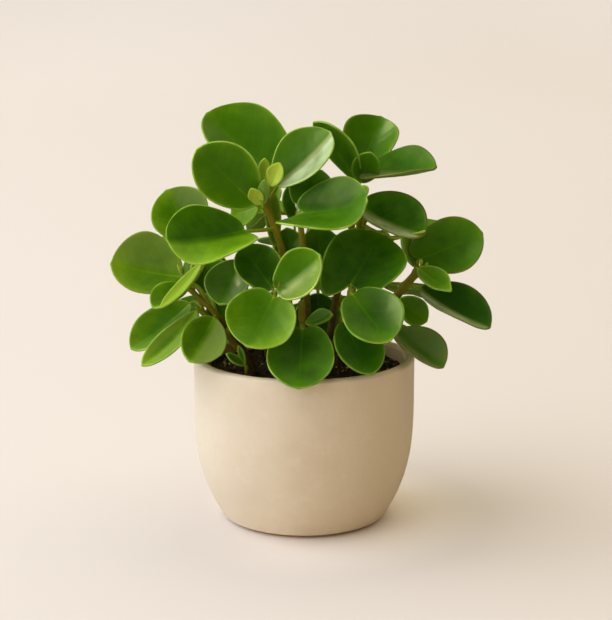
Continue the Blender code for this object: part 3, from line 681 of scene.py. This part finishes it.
# From the stem to the blade's foot on a quadratic Bezier curve, then on below the blade as its
# midrib, ever thinner.
def petiolePart(leaf, start):
    foot, _, along, _, out = bladeFrame(leaf)
    reach = np.linalg.norm(foot - start)
    bend = foot - along * reach * stalk["bend"] - out * reach * leaf["droop"]
    t = np.linspace(0, 1, stalk["petioleSteps"])[:, None]
    arch = (1 - t) ** 2 * start + 2 * t * (1 - t) * bend + t ** 2 * (foot - out * stalk["ribDepth"])
    u = np.linspace(0.03, 0.86, stalk["ribSteps"])
    rib = bladePoint(leaf, u, np.zeros(len(u))) - out * (stalk["ribDepth"] - 0.1 * u[:, None])
    path = np.vstack([arch, rib])
    size = stalk["slim"] if isSmall(leaf) else 1.0
    thick = np.linspace(stalk["root"], stalk["end"], len(arch))
    thin = np.linspace(stalk["end"] * 0.9, 0.3, len(rib))
    radii = np.concatenate([thick, thin]) * size
    radii[:3] *= 1 + 0.35 * np.array([1.0, 0.6, 0.25])  # the swollen joint at the stem
    age = np.concatenate([np.linspace(0.55, 0.8, len(arch)), np.full(len(rib), 0.85)])
    return rodPart(path, radii, stalk["petioleSides"], stalkValues(age))


# A stem that starts in the soil. It swells by a share of exp(-((share - at) / 0.025)^2) where
# petioles leave it, and by the same with 0.012 at the scars of fallen leaves.
def stemPart(stem, curve):
    x, y = stem["path"][0][:2]
    path = np.vstack([[(x, y, z) for z in stalk["buried"]], curve])
    share = np.concatenate([[0, 0, 0], np.linspace(0, 1, len(curve))])
    radii = np.interp(share, (0, 1), stem["radii"])
    for leaf in stem["leaves"]:
        radii = radii + stalk["joint"] * 0.5 * np.exp(-((share - leaf["at"]) / 0.025) ** 2)
    for at in np.arange(*stalk["scars"]):
        radii = radii + stalk["joint"] * 0.4 * np.exp(-((share - at) / 0.012) ** 2)
    return rodPart(path, radii, stalk["stemSides"], stalkValues(share * 0.5), stalk["flute"])


# A flower spike: a rod with low bumps that narrows to its tip.
def spikePart(start, points):
    steps = stalk["spikeSteps"]
    path = smoothPath([start, *points], steps)
    radii = np.linspace(*stalk["spikeRadii"], steps) * (1 + 0.12 * np.sin(np.arange(steps) * 2.1))
    return rodPart(path, radii, stalk["spikeSides"], stalkValues(np.full(steps, 0.92)))


# A bud on a thin stalk: the radius is size * (0.3 + 0.7 * exp(-((t - 0.8) / 0.17)^2)), but about
# half of that at the tip.
def budPart(start, tip, size, white):
    t = np.linspace(0, 1, stalk["budSteps"])
    path = np.array(start) + (np.array(tip, float) - start) * t[:, None]
    path = path + np.sin(np.pi * t)[:, None] * np.array((0.4, 0.2, -0.5))
    radii = size * (0.3 + 0.7 * np.exp(-((t - 0.8) / 0.17) ** 2)) * np.where(t > 0.97, 0.55, 1)
    return rodPart(path, radii, stalk["budSides"], stalkValues(0.9 + 0.1 * t, white * t))


def stalkFinish():
    f = newFinish("stalk_green")
    spot = f.places()
    place = f.attribute("stalkAge")
    age, white = place.part(0), place.part(2)
    streaks = f.noise(spot, 1.6, 4.0, 0.6)
    clouds = f.noise(spot, 7.0, 2.0)
    ripe = age + (clouds - 0.5) * 0.25
    # Low on the stems the bark colour is partly painted shade
    colour = f.blend(ripe.between(0.02, 0.40), stalk["bark"], stalk["stem"])
    colour = f.blend(ripe.between(0.40, 0.75), colour, stalk["petiole"])
    colour = f.blend(ripe.between(0.86, 1.0), colour, stalk["bud"])
    colour = f.blend(white, colour, stalk["white"])
    colour = f.blend(white * -1.0, colour, stalk["dark"])
    colour = f.blend(streaks.between(0.5, 0.8) * 0.45, colour, stalk["streak"])
    return f.surface(
        Base_Color=colour, Roughness=0.42 + streaks * 0.1, Normal=f.bump(streaks, 0.25, 0.2),
        Specular_IOR_Level=0.1, Subsurface_Weight=0.15, Subsurface_Radius=(0.8, 1.2, 0.3),
        Subsurface_Scale=0.001)


# A leaf's row: where its petiole leaves the stem, the foot, the tip, the way its upper face looks,
# and its width; its fold, cup and lobes, its petiole's droop, and how much the fold fades to the
# tip; its tone, -1 for dark, 1 for fresh and 3 for new growth, partly the leaf's own colour and
# partly painted light and shade, and the painted light and shade that each half adds to it; how
# much painted sheen each half has, 1 for a pale painted sheen and 2 for a silvery painted
# reflection, and how much it shines; how bright and how red its margin is, the brightness partly
# the leaf's own pale margin and partly a painted glow of light through the edge, how much that
# waves, and the nib's length. A pair holds the half at v < 0 first.
leafNumbers = itertools.count(1)  # a leaf's number sets where its margin's wave starts


def leaf(at, foot, tip, face, width, fold=0.2, cup=0.25, lobe=(0.1, 0.1), droop=0.1, fade=0.6,
         toneAndPaintedShading=0.0, half=(0.0, 0.0), paintedSheen=(0.0, 0.0), shine=(0.2, 0.2), rim=0.5, blush=0.0, wave=1.0,
         nib=0.5):
    fold = fold if isinstance(fold, tuple) else (fold, fold)
    width = width if isinstance(width, tuple) else (width, width)
    return {"at": at, "foot": foot, "tip": tip, "face": face, "width": width, "fold": fold, "cup": cup,
            "lobe": lobe, "droop": droop, "fade": fade, "toneAndPaintedShading": toneAndPaintedShading, "half": half, "paintedSheen": paintedSheen,
            "shine": shine, "rim": rim, "blush": blush, "wave": wave * blade["wave"], "nib": nib,
            "phase": (next(leafNumbers) * 2.4) % 6.28}


# Leaves round a shoot: each starts reach out from the centre on its heading, and rises.
def whorl(at, centre, headings, reach, lengths, rises):
    leaves = []
    up = np.array([0.0, 0.0, 1.0])
    for heading, length, rise in zip(headings, lengths, rises):
        heading, rise = math.radians(heading), math.radians(rise)
        outward = np.array([math.cos(heading), math.sin(heading), 0.0])
        along = outward * math.cos(rise) + up * math.sin(rise)
        foot = np.array(centre) + outward * reach
        face = up * math.cos(rise) - outward * math.sin(rise)
        toneAndPaintedShading = 0.35 * math.sin(7 * heading + length)
        leaves.append(leaf(at, tuple(foot), tuple(foot + length * along), tuple(face), 0.82 * length,
                           toneAndPaintedShading=toneAndPaintedShading))
    return leaves


# A stem's row: its radii at the soil and at the tip, its path, its leaves, its spikes and its buds.
# A spike is where it leaves the stem and its points. A bud is where it leaves the stem, its tip,
# its size, and how white it is, or below 0 how dark.
soilFoot = 99.0
stems = [
    {"name": "stem_crown_left", "radii": (2.5, 2.0),
     "path": [(-6, -4, soilFoot), (-9, -6, 130), (-14, -10, 173), (-25, -10, 204)],
     "leaves": [
         leaf(0.98, (-19, 0, 221), (-61, 14, 255), (4, -8, 5), (52, 40), fold=0.3, lobe=(0.7, 0.1),
              droop=0.2, fade=0.5, toneAndPaintedShading=0.1, half=(0.0, -0.2), paintedSheen=(0.0, 0.10), shine=(0.1, 0.3)),
         leaf(0.95, (-30, -14, 202), (-64, -26, 236), (-1, -9, 2), (40, 35), fade=0.8, toneAndPaintedShading=0.1, rim=0.9,
              shine=(0.4, 0.1)),
         leaf(0.97, (-18, -14, 214), (16, -10, 245), (-4, -8, 5), (37, 37), fold=(0.35, 0.15), toneAndPaintedShading=-0.5,
              half=(1.9, 0.3), paintedSheen=(1.7, 0.04), shine=(0.9, 0.25), rim=0.9),
         leaf(0.93, (-28, -12, 200), (-45, -8, 194), (0, -9, 6), 22, toneAndPaintedShading=0.7),
         leaf(0.85, (-24, -2, 194), (-35, 4, 183), (1, 8, 3), 12, toneAndPaintedShading=0.6),
         leaf(0.80, (-36, -26, 187), (-81, -48, 185), (0, -8, 7), (42, 51), fold=(0.1, 1.1),
              lobe=(0.2, 0.5), fade=1.3, toneAndPaintedShading=-0.75, half=(0.0, 1.6), shine=(0.02, 0.15), rim=0.8),
         leaf(0.40, (-18, -4, 174), (-20, 0, 209), (4, -8, 1), 11, toneAndPaintedShading=0.3),
         leaf(0.99, (-20, -18, 213), (-15, -18, 227), (-3, -9, 2), 11, toneAndPaintedShading=3.0, wave=5.0),
         leaf(1.0, (-25, -11, 212), (-24, -10, 229), (1, -9, 1), 8, toneAndPaintedShading=2.8, wave=2.0),
         leaf(0.97, (-26, -19, 202), (-32, -24, 212), (-3, -9, 2), 9, toneAndPaintedShading=3.0, wave=6.0),
         leaf(0.98, (-25, -20, 202), (-24, -20, 217), (1, 9, 1), 7, toneAndPaintedShading=2.9, wave=1.5),
         leaf(0.90, (-26, 8, 194), (-34, 42, 208), (0, -3, 9), 32),
     ]},
    {"name": "stem_crown_right", "radii": (2.5, 1.9),
     "path": [(14, 10, soilFoot), (20, 12, 135), (29, 10, 178), (33, 8, 210)],
     "leaves": [
         leaf(0.98, (32, 8, 214), (6, 4, 250), (-7, -7, -1), (37, 14), fold=(0.0, 0.3), fade=0.3,
              toneAndPaintedShading=-0.1, shine=(0.6, 0.3)),
         leaf(1.0, (37, 15, 226), (49, 33, 252), (-1, -9, 5), (34, 36), fold=0.3, cup=0.45,
              lobe=(0.6, 0.6), toneAndPaintedShading=-0.4, half=(0.3, 0.0), shine=(0.35, 0.1), blush=0.3),
         leaf(0.98, (40, 4, 221), (81, -8, 224), (0, -6, 8), (38, 34), fold=(0.2, 0.05), lobe=(0.6, 0.1),
              fade=-3.0, toneAndPaintedShading=-0.6, paintedSheen=(0.7, 0.0), shine=(0.6, 0.0), rim=0.3, blush=0.5),
         leaf(1.0, (35, 2, 213), (41, -3, 232), (1, -9, 2), 18, fold=0.1, toneAndPaintedShading=-0.5,
              shine=(0.05, 0.05), rim=0.3),
         leaf(0.92, (31, 22, 197), (22, 54, 204), (0, -3, 9), 32),
     ],
     "buds": [(1.0, (37, 2, 224), 1.6, 0.0), (0.93, (27, -2, 210), 1.5, 0.6)]},
    {"name": "stem_middle", "radii": (2.3, 1.8),
     "path": [(3, -14, soilFoot), (2, -16, 135), (0, -16, 170), (-3, -16, 195)],
     "leaves": [
         leaf(1.0, (-1, -27, 198), (37, -45, 207), (1, -7, 7), (46, 42), fold=(1.0, 0.2),
              lobe=(1.2, 0.6), fade=1.35, toneAndPaintedShading=-0.45, half=(0.2, -0.4), shine=(0.12, 0.03), rim=0.9),
         leaf(0.98, (-3, -8, 199), (11, 8, 220), (-2, -9, 3), 28, fold=0.1, toneAndPaintedShading=-0.7, rim=0.3),
         leaf(0.55, (-8, 0, 160), (-11, 6, 184), (-2, -9, 3), 20, toneAndPaintedShading=-0.7, rim=0.8),
         leaf(0.50, (11, 4, 159), (9, 14, 184), (2, -9, 3), 24, toneAndPaintedShading=-0.8, rim=0.6),
     ],
     "buds": [(1.0, (-5, -22, 203), 1.0, 1.0), (0.99, (-3, -24, 200), 0.9, 1.0)]},
    {"name": "stem_shoulder_right", "radii": (2.2, 1.6),
     "path": [(22, -4, soilFoot), (28, -6, 135), (34, -8, 165), (37, -8, 192)],
     "leaves": [
         leaf(0.85, (37, -11, 199), (73, -25, 185), (1, -7, 7), (31, 40), fold=(0.45, 0.1),
              lobe=(0.2, 0.5), fade=0.2, toneAndPaintedShading=-0.85, half=(0.8, 0.0), paintedSheen=(1.45, 0.0),
              shine=(0.3, 0.0), rim=0.2, blush=0.5),
         leaf(0.97, (39, -3, 193), (31, 3, 188), (0, 8, 3), 10, toneAndPaintedShading=0.6),
     ],
     "spikes": [(0.95, [(52, -18, 182), (64, -24, 184), (73, -28, 187)])]},
    {"name": "stem_right", "radii": (3.0, 2.5),
     "path": [(34, 2, soilFoot), (44, 0, 120), (58, -3, 142), (72, 0, 158)],
     "leaves": [
         leaf(1.0, (73, 2, 165), (111, -2, 182), (0, -9, 3), 36, fold=0.1, lobe=(0.1, 0.7), toneAndPaintedShading=-0.25,
              shine=(0.05, 0.1), rim=0.4, blush=0.4),
         leaf(0.98, (71, -9, 161), (88, -25, 151), (1, -8, 6), (14, 17), toneAndPaintedShading=0.15, nib=3.0),
         leaf(0.97, (70, 2, 160), (64, 9, 182), (4, -8, 3), 13, toneAndPaintedShading=0.3, paintedSheen=(0.5, 0.5), rim=0.8),
         leaf(0.80, (73, -6, 148), (115, -20, 126), (2, -7, 7), (30, 33), fold=(0.5, 0.2), fade=-0.5,
              toneAndPaintedShading=-1.4, half=(1.9, 0.0), paintedSheen=(1.85, 0.0), shine=(1.0, 0.02), rim=0.2, blush=0.5),
         leaf(0.62, (59, -9, 141), (77, -7, 127), (0, -9, 4), 18, toneAndPaintedShading=-0.1),
         leaf(0.97, (76, 11, 158), (104, 34, 160), (2, -1, 9), 30),
     ],
     "buds": [(1.0, (73, -5, 166), 1.3, 0.0), (1.0, (77, -6, 164), 1.1, 0.0)]},
    {"name": "stem_front_right", "radii": (2.3, 1.8),
     "path": [(16, -24, soilFoot), (20, -32, 122), (25, -42, 140), (28, -46, 153)],
     "leaves": [
         leaf(1.0, (28, -43, 157), (46, -17, 184), (0, -8, 7), (51, 46), fold=0.12, lobe=(0.4, 1.4),
              fade=0.8, toneAndPaintedShading=-0.95, half=(0.0, 0.05), shine=(0.05, 0.05)),
         leaf(0.98, (29, -50, 152), (50, -72, 129), (1, -8, 5), (34, 39), fold=0.15, lobe=(0.3, 0.3),
              toneAndPaintedShading=-0.5, shine=(0.5, 0.4)),
         leaf(0.55, (24, -42, 134), (40, -67, 108), (2, -7, 7), 30, cup=0.15, toneAndPaintedShading=-1.1,
              shine=(0.05, 0.05), rim=0.3),
     ],
     "buds": [(1.0, (25, -48, 162), 1.1, -1.5), (1.0, (31, -50, 160), 1.0, -1.5)]},
    {"name": "stem_front_left", "radii": (2.3, 1.7),
     "path": [(-9, -26, soilFoot), (-12, -36, 122), (-16, -44, 140), (-18, -48, 152)],
     "leaves": [
         leaf(1.0, (-19, -45, 155), (-37, -25, 177), (2, -9, 3), (30, 26), fold=0.12, cup=0.15,
              lobe=(0.3, 0.3), toneAndPaintedShading=-1.0, shine=(0.05, 0.1), rim=0.7),
         leaf(1.0, (-16, -50, 155), (9, -58, 177), (-4, -8, 3), (32, 27), fold=0.1, cup=0.35,
              lobe=(0.3, 0.3), toneAndPaintedShading=-0.15, half=(1.2, 0.0), paintedSheen=(0.35, 0.0), shine=(1.0, 0.0),
              rim=0.9),
         leaf(0.97, (-18, -53, 151), (-33, -73, 126), (0, -8, 6), 42, fold=0.15, lobe=(0.5, 0.5),
              fade=0.9, half=(0.2, 0.5), shine=(0.2, 0.15), rim=0.8),
     ],
     "buds": [(1.0, (-20, -52, 163), 0.9, -1.3), (1.0, (-14, -54, 161), 0.8, -0.8)]},
    {"name": "stem_front_low", "radii": (2.1, 1.6),
     "path": [(3, -34, soilFoot), (1, -38, 115), (-1, -40, 130), (-2, -40, 145)],
     "leaves": [
         leaf(0.7, (-1, -48, 130), (-3, -82, 103), (0, -7, 7), 40, fold=0.12, cup=0.12,
              lobe=(0.5, 0.5), toneAndPaintedShading=-0.7, shine=(0.35, 0.35)),
         leaf(0.8, (1, -30, 131), (17, -36, 137), (0, -5, 8), 14, toneAndPaintedShading=-0.3),
     ]},
    {"name": "stem_low_right", "radii": (2.2, 1.6),
     "path": [(38, -16, soilFoot), (42, -16, 106), (47, -16, 113), (52, -15, 120)],
     "leaves": [
         leaf(0.85, (57, -16, 123), (85, -34, 104), (2, -7, 7), (26, 30), fold=(0.5, 0.2), fade=-0.3,
              toneAndPaintedShading=-0.5, paintedSheen=(1.1, 0.4), shine=(0.5, 0.3), rim=0.2, blush=0.4),
         leaf(0.95, (56, -4, 119), (78, 14, 109), (3, -1, 8), 26, toneAndPaintedShading=-0.2),
     ]},
    {"name": "stem_left", "radii": (2.1, 1.5),
     "path": [(-32, -10, soilFoot), (-44, -16, 120), (-57, -20, 137), (-72, -15, 150)],
     "leaves": [
         leaf(0.75, (-76, -12, 156), (-118, -22, 166), (-1, -8, 5), (47, 33), fold=0.15, lobe=(0.2, 0.2),
              toneAndPaintedShading=0.65, half=(0.2, 0.0), paintedSheen=(0.25, 0.0), shine=(1.0, 0.1), rim=0.7, blush=0.2),
         leaf(0.70, (-72, -22, 153), (-91, -38, 142), (-3, -6, 7), 21, fold=0.35, fade=0.2, toneAndPaintedShading=0.2,
              half=(0.0, 0.5)),
         leaf(1.0, (-71, -12, 152), (-68, -3, 168), (-1, 8, 2), 12, toneAndPaintedShading=1.0),
         leaf(0.60, (-58, -4, 144), (-62, 1, 167), (0, -9, 3), 26, toneAndPaintedShading=-0.2),
         leaf(0.98, (-62, -27, 168), (-86, -43, 143), (-5, -7, 1), 9, fold=0.1, toneAndPaintedShading=2.7),
         leaf(0.25, (-53, -7, 119), (-53, -3, 141), (0, -9, 2), 18, toneAndPaintedShading=-0.7),
         leaf(0.93, (-76, 3, 150), (-105, 27, 151), (-2, -1, 9), 30, toneAndPaintedShading=0.1),
     ],
     "buds": [(1.0, (-77, -25, 166), 1.2, 0.0), (1.0, (-68, -26, 168), 1.0, 0.0)]},
    {"name": "stem_low_left", "radii": (2.0, 1.5),
     "path": [(-32, -24, soilFoot), (-40, -24, 112), (-52, -22, 126), (-66, -17, 137)],
     "leaves": [
         leaf(0.90, (-71, -10, 139), (-107, -22, 113), (-2, -7, 7), (26, 30), fold=(0.3, 0.4),
              fade=0.0, toneAndPaintedShading=0.35, paintedSheen=(0.0, 0.25), shine=(0.3, 0.3)),
         leaf(0.85, (-66, -24, 137), (-97, -50, 109), (-4, -8, 4), (14, 24), fold=(0.35, 0.3),
              fade=0.0, toneAndPaintedShading=0.6, half=(0.7, 1.9), paintedSheen=(0.3, 0.35), shine=(0.7, 1.0), rim=0.7),
         leaf(0.70, (-55, -30, 134), (-68, -56, 113), (3, -8, 6), (25, 30), fold=(0.3, 0.2), toneAndPaintedShading=0.35,
              half=(-0.1, 1.6), paintedSheen=(0.0, 0.5), shine=(0.3, 1.0)),
         leaf(0.55, (-39, -21, 168), (-51, -38, 144), (-1, -6, 8), (30, 28), toneAndPaintedShading=-0.6, paintedSheen=(0.15, 0.3),
              shine=(1.0, 1.0)),
     ]},
    {"name": "sprout_front", "radii": (1.3, 1.0),
     "path": [(-35, -40, 98), (-35, -40, 101), (-35, -40, 103), (-35, -40, 105)],
     "leaves": [
         leaf(1.0, (-36, -41, 107), (-46, -51, 116), (3, -8, 5), 6, toneAndPaintedShading=-0.6),
         leaf(0.9, (-36, -38, 107), (-40, -33, 117), (0, -5, 5), 4, toneAndPaintedShading=-0.4),
     ]},
    {"name": "stem_back_left", "radii": (2.4, 1.8),
     "path": [(-20, 14, soilFoot), (-34, 18, 135), (-50, 14, 160), (-66, 10, 174)],
     "leaves": [
         leaf(1.0, (-69, 5, 177), (-87, 13, 207), (-1, -9, 4), (39, 36), fold=0.15, toneAndPaintedShading=0.6,
              half=(0.0, -0.1), paintedSheen=(0.4, 0.0), shine=(1.0, 0.1)),
         *whorl(0.97, (-64, 16, 172), (165, 95), 12, (38, 40), (-5, 5)),
         *whorl(0.60, (-40, 20, 150), (100, 40), 12, (36, 34), (-15, 5)),
     ]},
    {"name": "stem_back_middle", "radii": (2.5, 1.8),
     "path": [(-2, 28, soilFoot), (0, 36, 135), (3, 42, 165), (4, 44, 184)],
     "leaves": [
         leaf(0.42, (9, 24, 139), (9, 19, 104), (0, -9, 2), 34, toneAndPaintedShading=-0.8),
         leaf(0.80, (-6, 15, 187), (-4, 20, 212), (-1, -9, 3), 18, toneAndPaintedShading=-0.8),
         *whorl(1.0, (4, 44, 188), (10, 85, 160), 13, (40, 42, 40), (10, 5, 10)),
         *whorl(0.85, (4, 42, 170), (45, 125), 14, (38, 38), (-10, -10)),
         *whorl(0.6, (2, 40, 150), (80, 265), 14, (40, 26), (-30, 5)),
     ]},
    {"name": "stem_back_right", "radii": (2.5, 1.8),
     "path": [(24, 22, soilFoot), (36, 30, 130), (48, 36, 155), (56, 38, 172)],
     "leaves": [
         *whorl(1.0, (56, 38, 176), (330, 35, 105), 13, (34, 38, 36), (5, 5, -10)),
         *whorl(0.6, (46, 34, 142), (0, 60, 107), 15, (38, 40, 30), (-15, -20, 8)),
     ]},
    {"name": "stem_back_low_left", "radii": (2.3, 1.7),
     "path": [(-24, 30, soilFoot), (-32, 38, 113), (-40, 46, 124), (-46, 50, 130)],
     "leaves": whorl(1.0, (-46, 48, 134), (75, 140, 205), 14, (36, 38, 36), (-35, -30, -20))},
    {"name": "stem_back_low_right", "radii": (2.3, 1.7),
     "path": [(10, 38, soilFoot), (16, 46, 110), (21, 52, 120), (24, 55, 126)],
     "leaves": whorl(1.0, (24, 53, 129), (20, 85, 150), 14, (34, 36, 34), (-30, -38, -25))},
]


# One piece for each leafy stem, in place of its node.
def makeLeafyStem(stem, finishes):
    curve = smoothPath(stem["path"], stalk["stemSteps"])
    parts = [stemPart(stem, curve)]
    for row in stem["leaves"]:
        parts += [bladePart(row), petiolePart(row, pathPoint(curve, row["at"]))]
    for at, points in stem.get("spikes", ()):
        parts.append(spikePart(pathPoint(curve, at), points))
    for at, tip, size, white in stem.get("buds", ()):
        parts.append(budPart(pathPoint(curve, at), tip, size, white))
    name = "leafy_" + stem["name"].replace("stem_", "")
    makePiece(name, parts, finishes, [stem["name"]])


finishes = [bladeFinish(), stalkFinish()]
for stem in stems:
    makeLeafyStem(stem, finishes)
leafCount = sum(len(stem["leaves"]) for stem in stems)
print("plant: made", len(stems), "leafy stems with", leafCount, "leaves")


# Floor, light and the room's pale glow, which is blue on the left, warm in the middle, dark on the
# right and bright overhead. Glossy faces mirror a darker room, and the camera sees one plain colour.
# The first two suns light matt faces, and the last one only shines back from glossy ones.
studio = {
    "flat": 8000.0, "flatRings": 13, "wallReach": 20000.0, "wallHeight": 4000.0, "wallRings": 24,
    "floorSides": 96, "hazeHeight": 1500.0, "sideReach": 320.0, "widening": 4.6, "far": 4000.0,
    # The near-pot values place a painted pool of light round the pot: its reach, its side and its share
    "cloudSize": 180.0, "paintedLightReach": (62.0, 125.0), "paintedLightSide": (-75.0, 0.0), "paintedLightShare": 0.9,
    # The floor's left and right colours are painted light and painted shade
    "floorLeft": rgb(0.680, 0.618, 0.570), "floorRight": rgb(0.628, 0.557, 0.492),
    "paintedLightNearPot": rgb(0.87, 0.78, 0.68),
    "left": rgb(1.9, 2.15, 2.9), "middle": rgb(0.88, 0.76, 0.54), "right": rgb(0.05, 0.03, 0.01),
    "overhead": rgb(1.74, 1.62, 1.32), "seen": rgb(0.83, 0.76, 0.66),
    "mirroredAround": rgb(0.015, 0.015, 0.004), "mirroredOverhead": rgb(0.50, 0.48, 0.18),
    "suns": (
        {"from": (-0.82, -0.12, 0.57), "angle": 75.0, "strength": 0.95,
         "colour": (0.72, 0.82, 1.0), "lights": True},
        {"from": (-0.66, 0.25, 0.70), "angle": 30.0, "strength": 0.4,
         "colour": (0.72, 0.82, 1.0), "lights": True},
        {"from": (-0.88, -0.17, 0.42), "angle": 50.0, "strength": 4.6,
         "colour": (1.0, 0.95, 0.50), "lights": False},
    ),
}


# The floor's paint: painted light and shade, paler on the left than on the right, a change that
# spreads out behind, and a painted pool of light close to the pot, except on its left, that lightens
# its shadow. Up the wall it turns into the plain colour beyond.
def floorFinish():
    f = newFinish("floor_paint")
    spot = f.places()
    across, away, upwards = spot.part(0), spot.part(1), spot.part(2)
    outwards = (across * across + away * away) ** 0.5
    # Painted light and shade: the floor is painted paler on the left, where the lamps light it more, and
    # darker on the right
    spread = away.between(0, studio["far"]) * studio["widening"] + 1
    side = (across / spread).between(-studio["sideReach"], studio["sideReach"])
    # Painted light: paler paint close to the pot, except on its left, lightens the pot's shadow on the
    # floor
    near = (1 - outwards.between(*studio["paintedLightReach"])) * across.between(*studio["paintedLightSide"])
    colour = f.blend(side, studio["floorLeft"], studio["floorRight"])
    colour = f.blend(f.noise(spot, studio["cloudSize"], 2.0) * 0.1, colour, studio["floorRight"])
    colour = f.blend(near * studio["paintedLightShare"], colour, studio["paintedLightNearPot"])
    paint = f.add("ShaderNodeBsdfPrincipled", {}, {
        "Base Color": colour, "Roughness": 0.8, "Specular IOR Level": 0.2})
    haze = f.add("ShaderNodeEmission", {}, {"Color": studio["seen"]})
    height = upwards.between(0, studio["hazeHeight"])
    mixed = f.add("ShaderNodeMixShader", {}, {0: height, 1: paint, 2: haze})
    f.add("ShaderNodeOutputMaterial", {}, {"Surface": mixed})
    return f.owner


# A round floor that is flat at first, then bends up on all sides: its height is
# wallHeight * t^2, t the share of the way from the flat's edge to wallReach.
def makeFloor():
    sides, flat = studio["floorSides"], studio["flat"]
    flatReach = np.linspace(0, flat, studio["flatRings"] + 1)[1:]
    beyond = np.linspace(0, 1, studio["wallRings"] + 1)[1:]
    reach = np.concatenate([flatReach, flat + (studio["wallReach"] - flat) * beyond])
    height = np.concatenate([0 * flatReach, studio["wallHeight"] * beyond ** 2])
    angle = np.arange(sides) * 2 * np.pi / sides
    x, y = reach[:, None] * np.cos(angle), reach[:, None] * np.sin(angle)
    z = np.broadcast_to(height[:, None], x.shape)
    points = np.concatenate([[(0, 0, 0)], np.stack([x, y, z], -1).reshape(-1, 3)])
    row, column = np.meshgrid(np.arange(len(reach) - 1), np.arange(sides), indexing="ij")
    a, b = 1 + row * sides + column, 1 + row * sides + (column + 1) % sides
    around = np.arange(sides)
    centre = np.stack([0 * around, 1 + around, 1 + (around + 1) % sides], 1)
    rings = np.concatenate([np.stack([a, a + sides, b + sides], -1), np.stack([a, b + sides, b], -1)])
    mesh = bpy.data.meshes.new("floor")
    mesh.from_pydata((points * mm).tolist(), [], np.concatenate([centre, rings.reshape(-1, 3)]).tolist())
    mesh.shade_smooth()
    mesh.materials.append(floorFinish())
    floor = bpy.data.objects.new("floor", mesh)
    floor.visible_glossy = False
    bpy.context.scene.collection.objects.link(floor)


# Each sun is turned to shine from the place that its row gives, as seen from the pot.
def makeSuns():
    for index, each in enumerate(studio["suns"]):
        sun = bpy.data.lights.new("sun_%d" % index, "SUN")
        sun.energy = each["strength"]
        sun.angle = math.radians(each["angle"])
        sun.color = each["colour"]
        lamp = bpy.data.objects.new(sun.name, sun)
        x, y, z = each["from"]
        lamp.rotation_euler = (math.atan2(math.hypot(x, y), z), 0, math.atan2(y, x) + math.pi / 2)
        lamp.visible_diffuse = each["lights"]
        lamp.visible_glossy = not each["lights"]
        bpy.context.scene.collection.objects.link(lamp)


# The room's colours by the direction that a ray goes in: x to the right, y away and z up.
def makeRoom():
    f = Finish(bpy.data.worlds.new("room"))
    towards = f.add("ShaderNodeTexCoord", {}, {}, "Generated")
    x, y, z = towards.part(0), towards.part(1), towards.part(2)
    above = (z * 0.9 + y * 0.35).between(0.3, 1.0)
    around = f.blend(x.between(-0.9, -0.1), studio["left"], studio["middle"])
    around = f.blend(x.between(-0.35, 0.15), around, studio["right"])
    lightSky = f.blend(above, around, studio["overhead"])
    mirroredSky = f.blend(above, studio["mirroredAround"], studio["mirroredOverhead"])
    fromGloss = f.add("ShaderNodeLightPath", {}, {}, "Is Glossy Ray")
    sky = f.blend(fromGloss, lightSky, mirroredSky)
    glow = f.add("ShaderNodeBackground", {}, {"Color": sky})
    seen = f.add("ShaderNodeBackground", {}, {"Color": studio["seen"]})
    fromCamera = f.add("ShaderNodeLightPath", {}, {}, "Is Camera Ray")
    mixed = f.add("ShaderNodeMixShader", {}, {0: fromCamera, 1: glow, 2: seen})
    f.add("ShaderNodeOutputWorld", {}, {"Surface": mixed})
    bpy.context.scene.world = f.owner


makeFloor()
makeSuns()
makeRoom()
bpy.context.scene.view_settings.view_transform = "Standard"
print("studio: made")
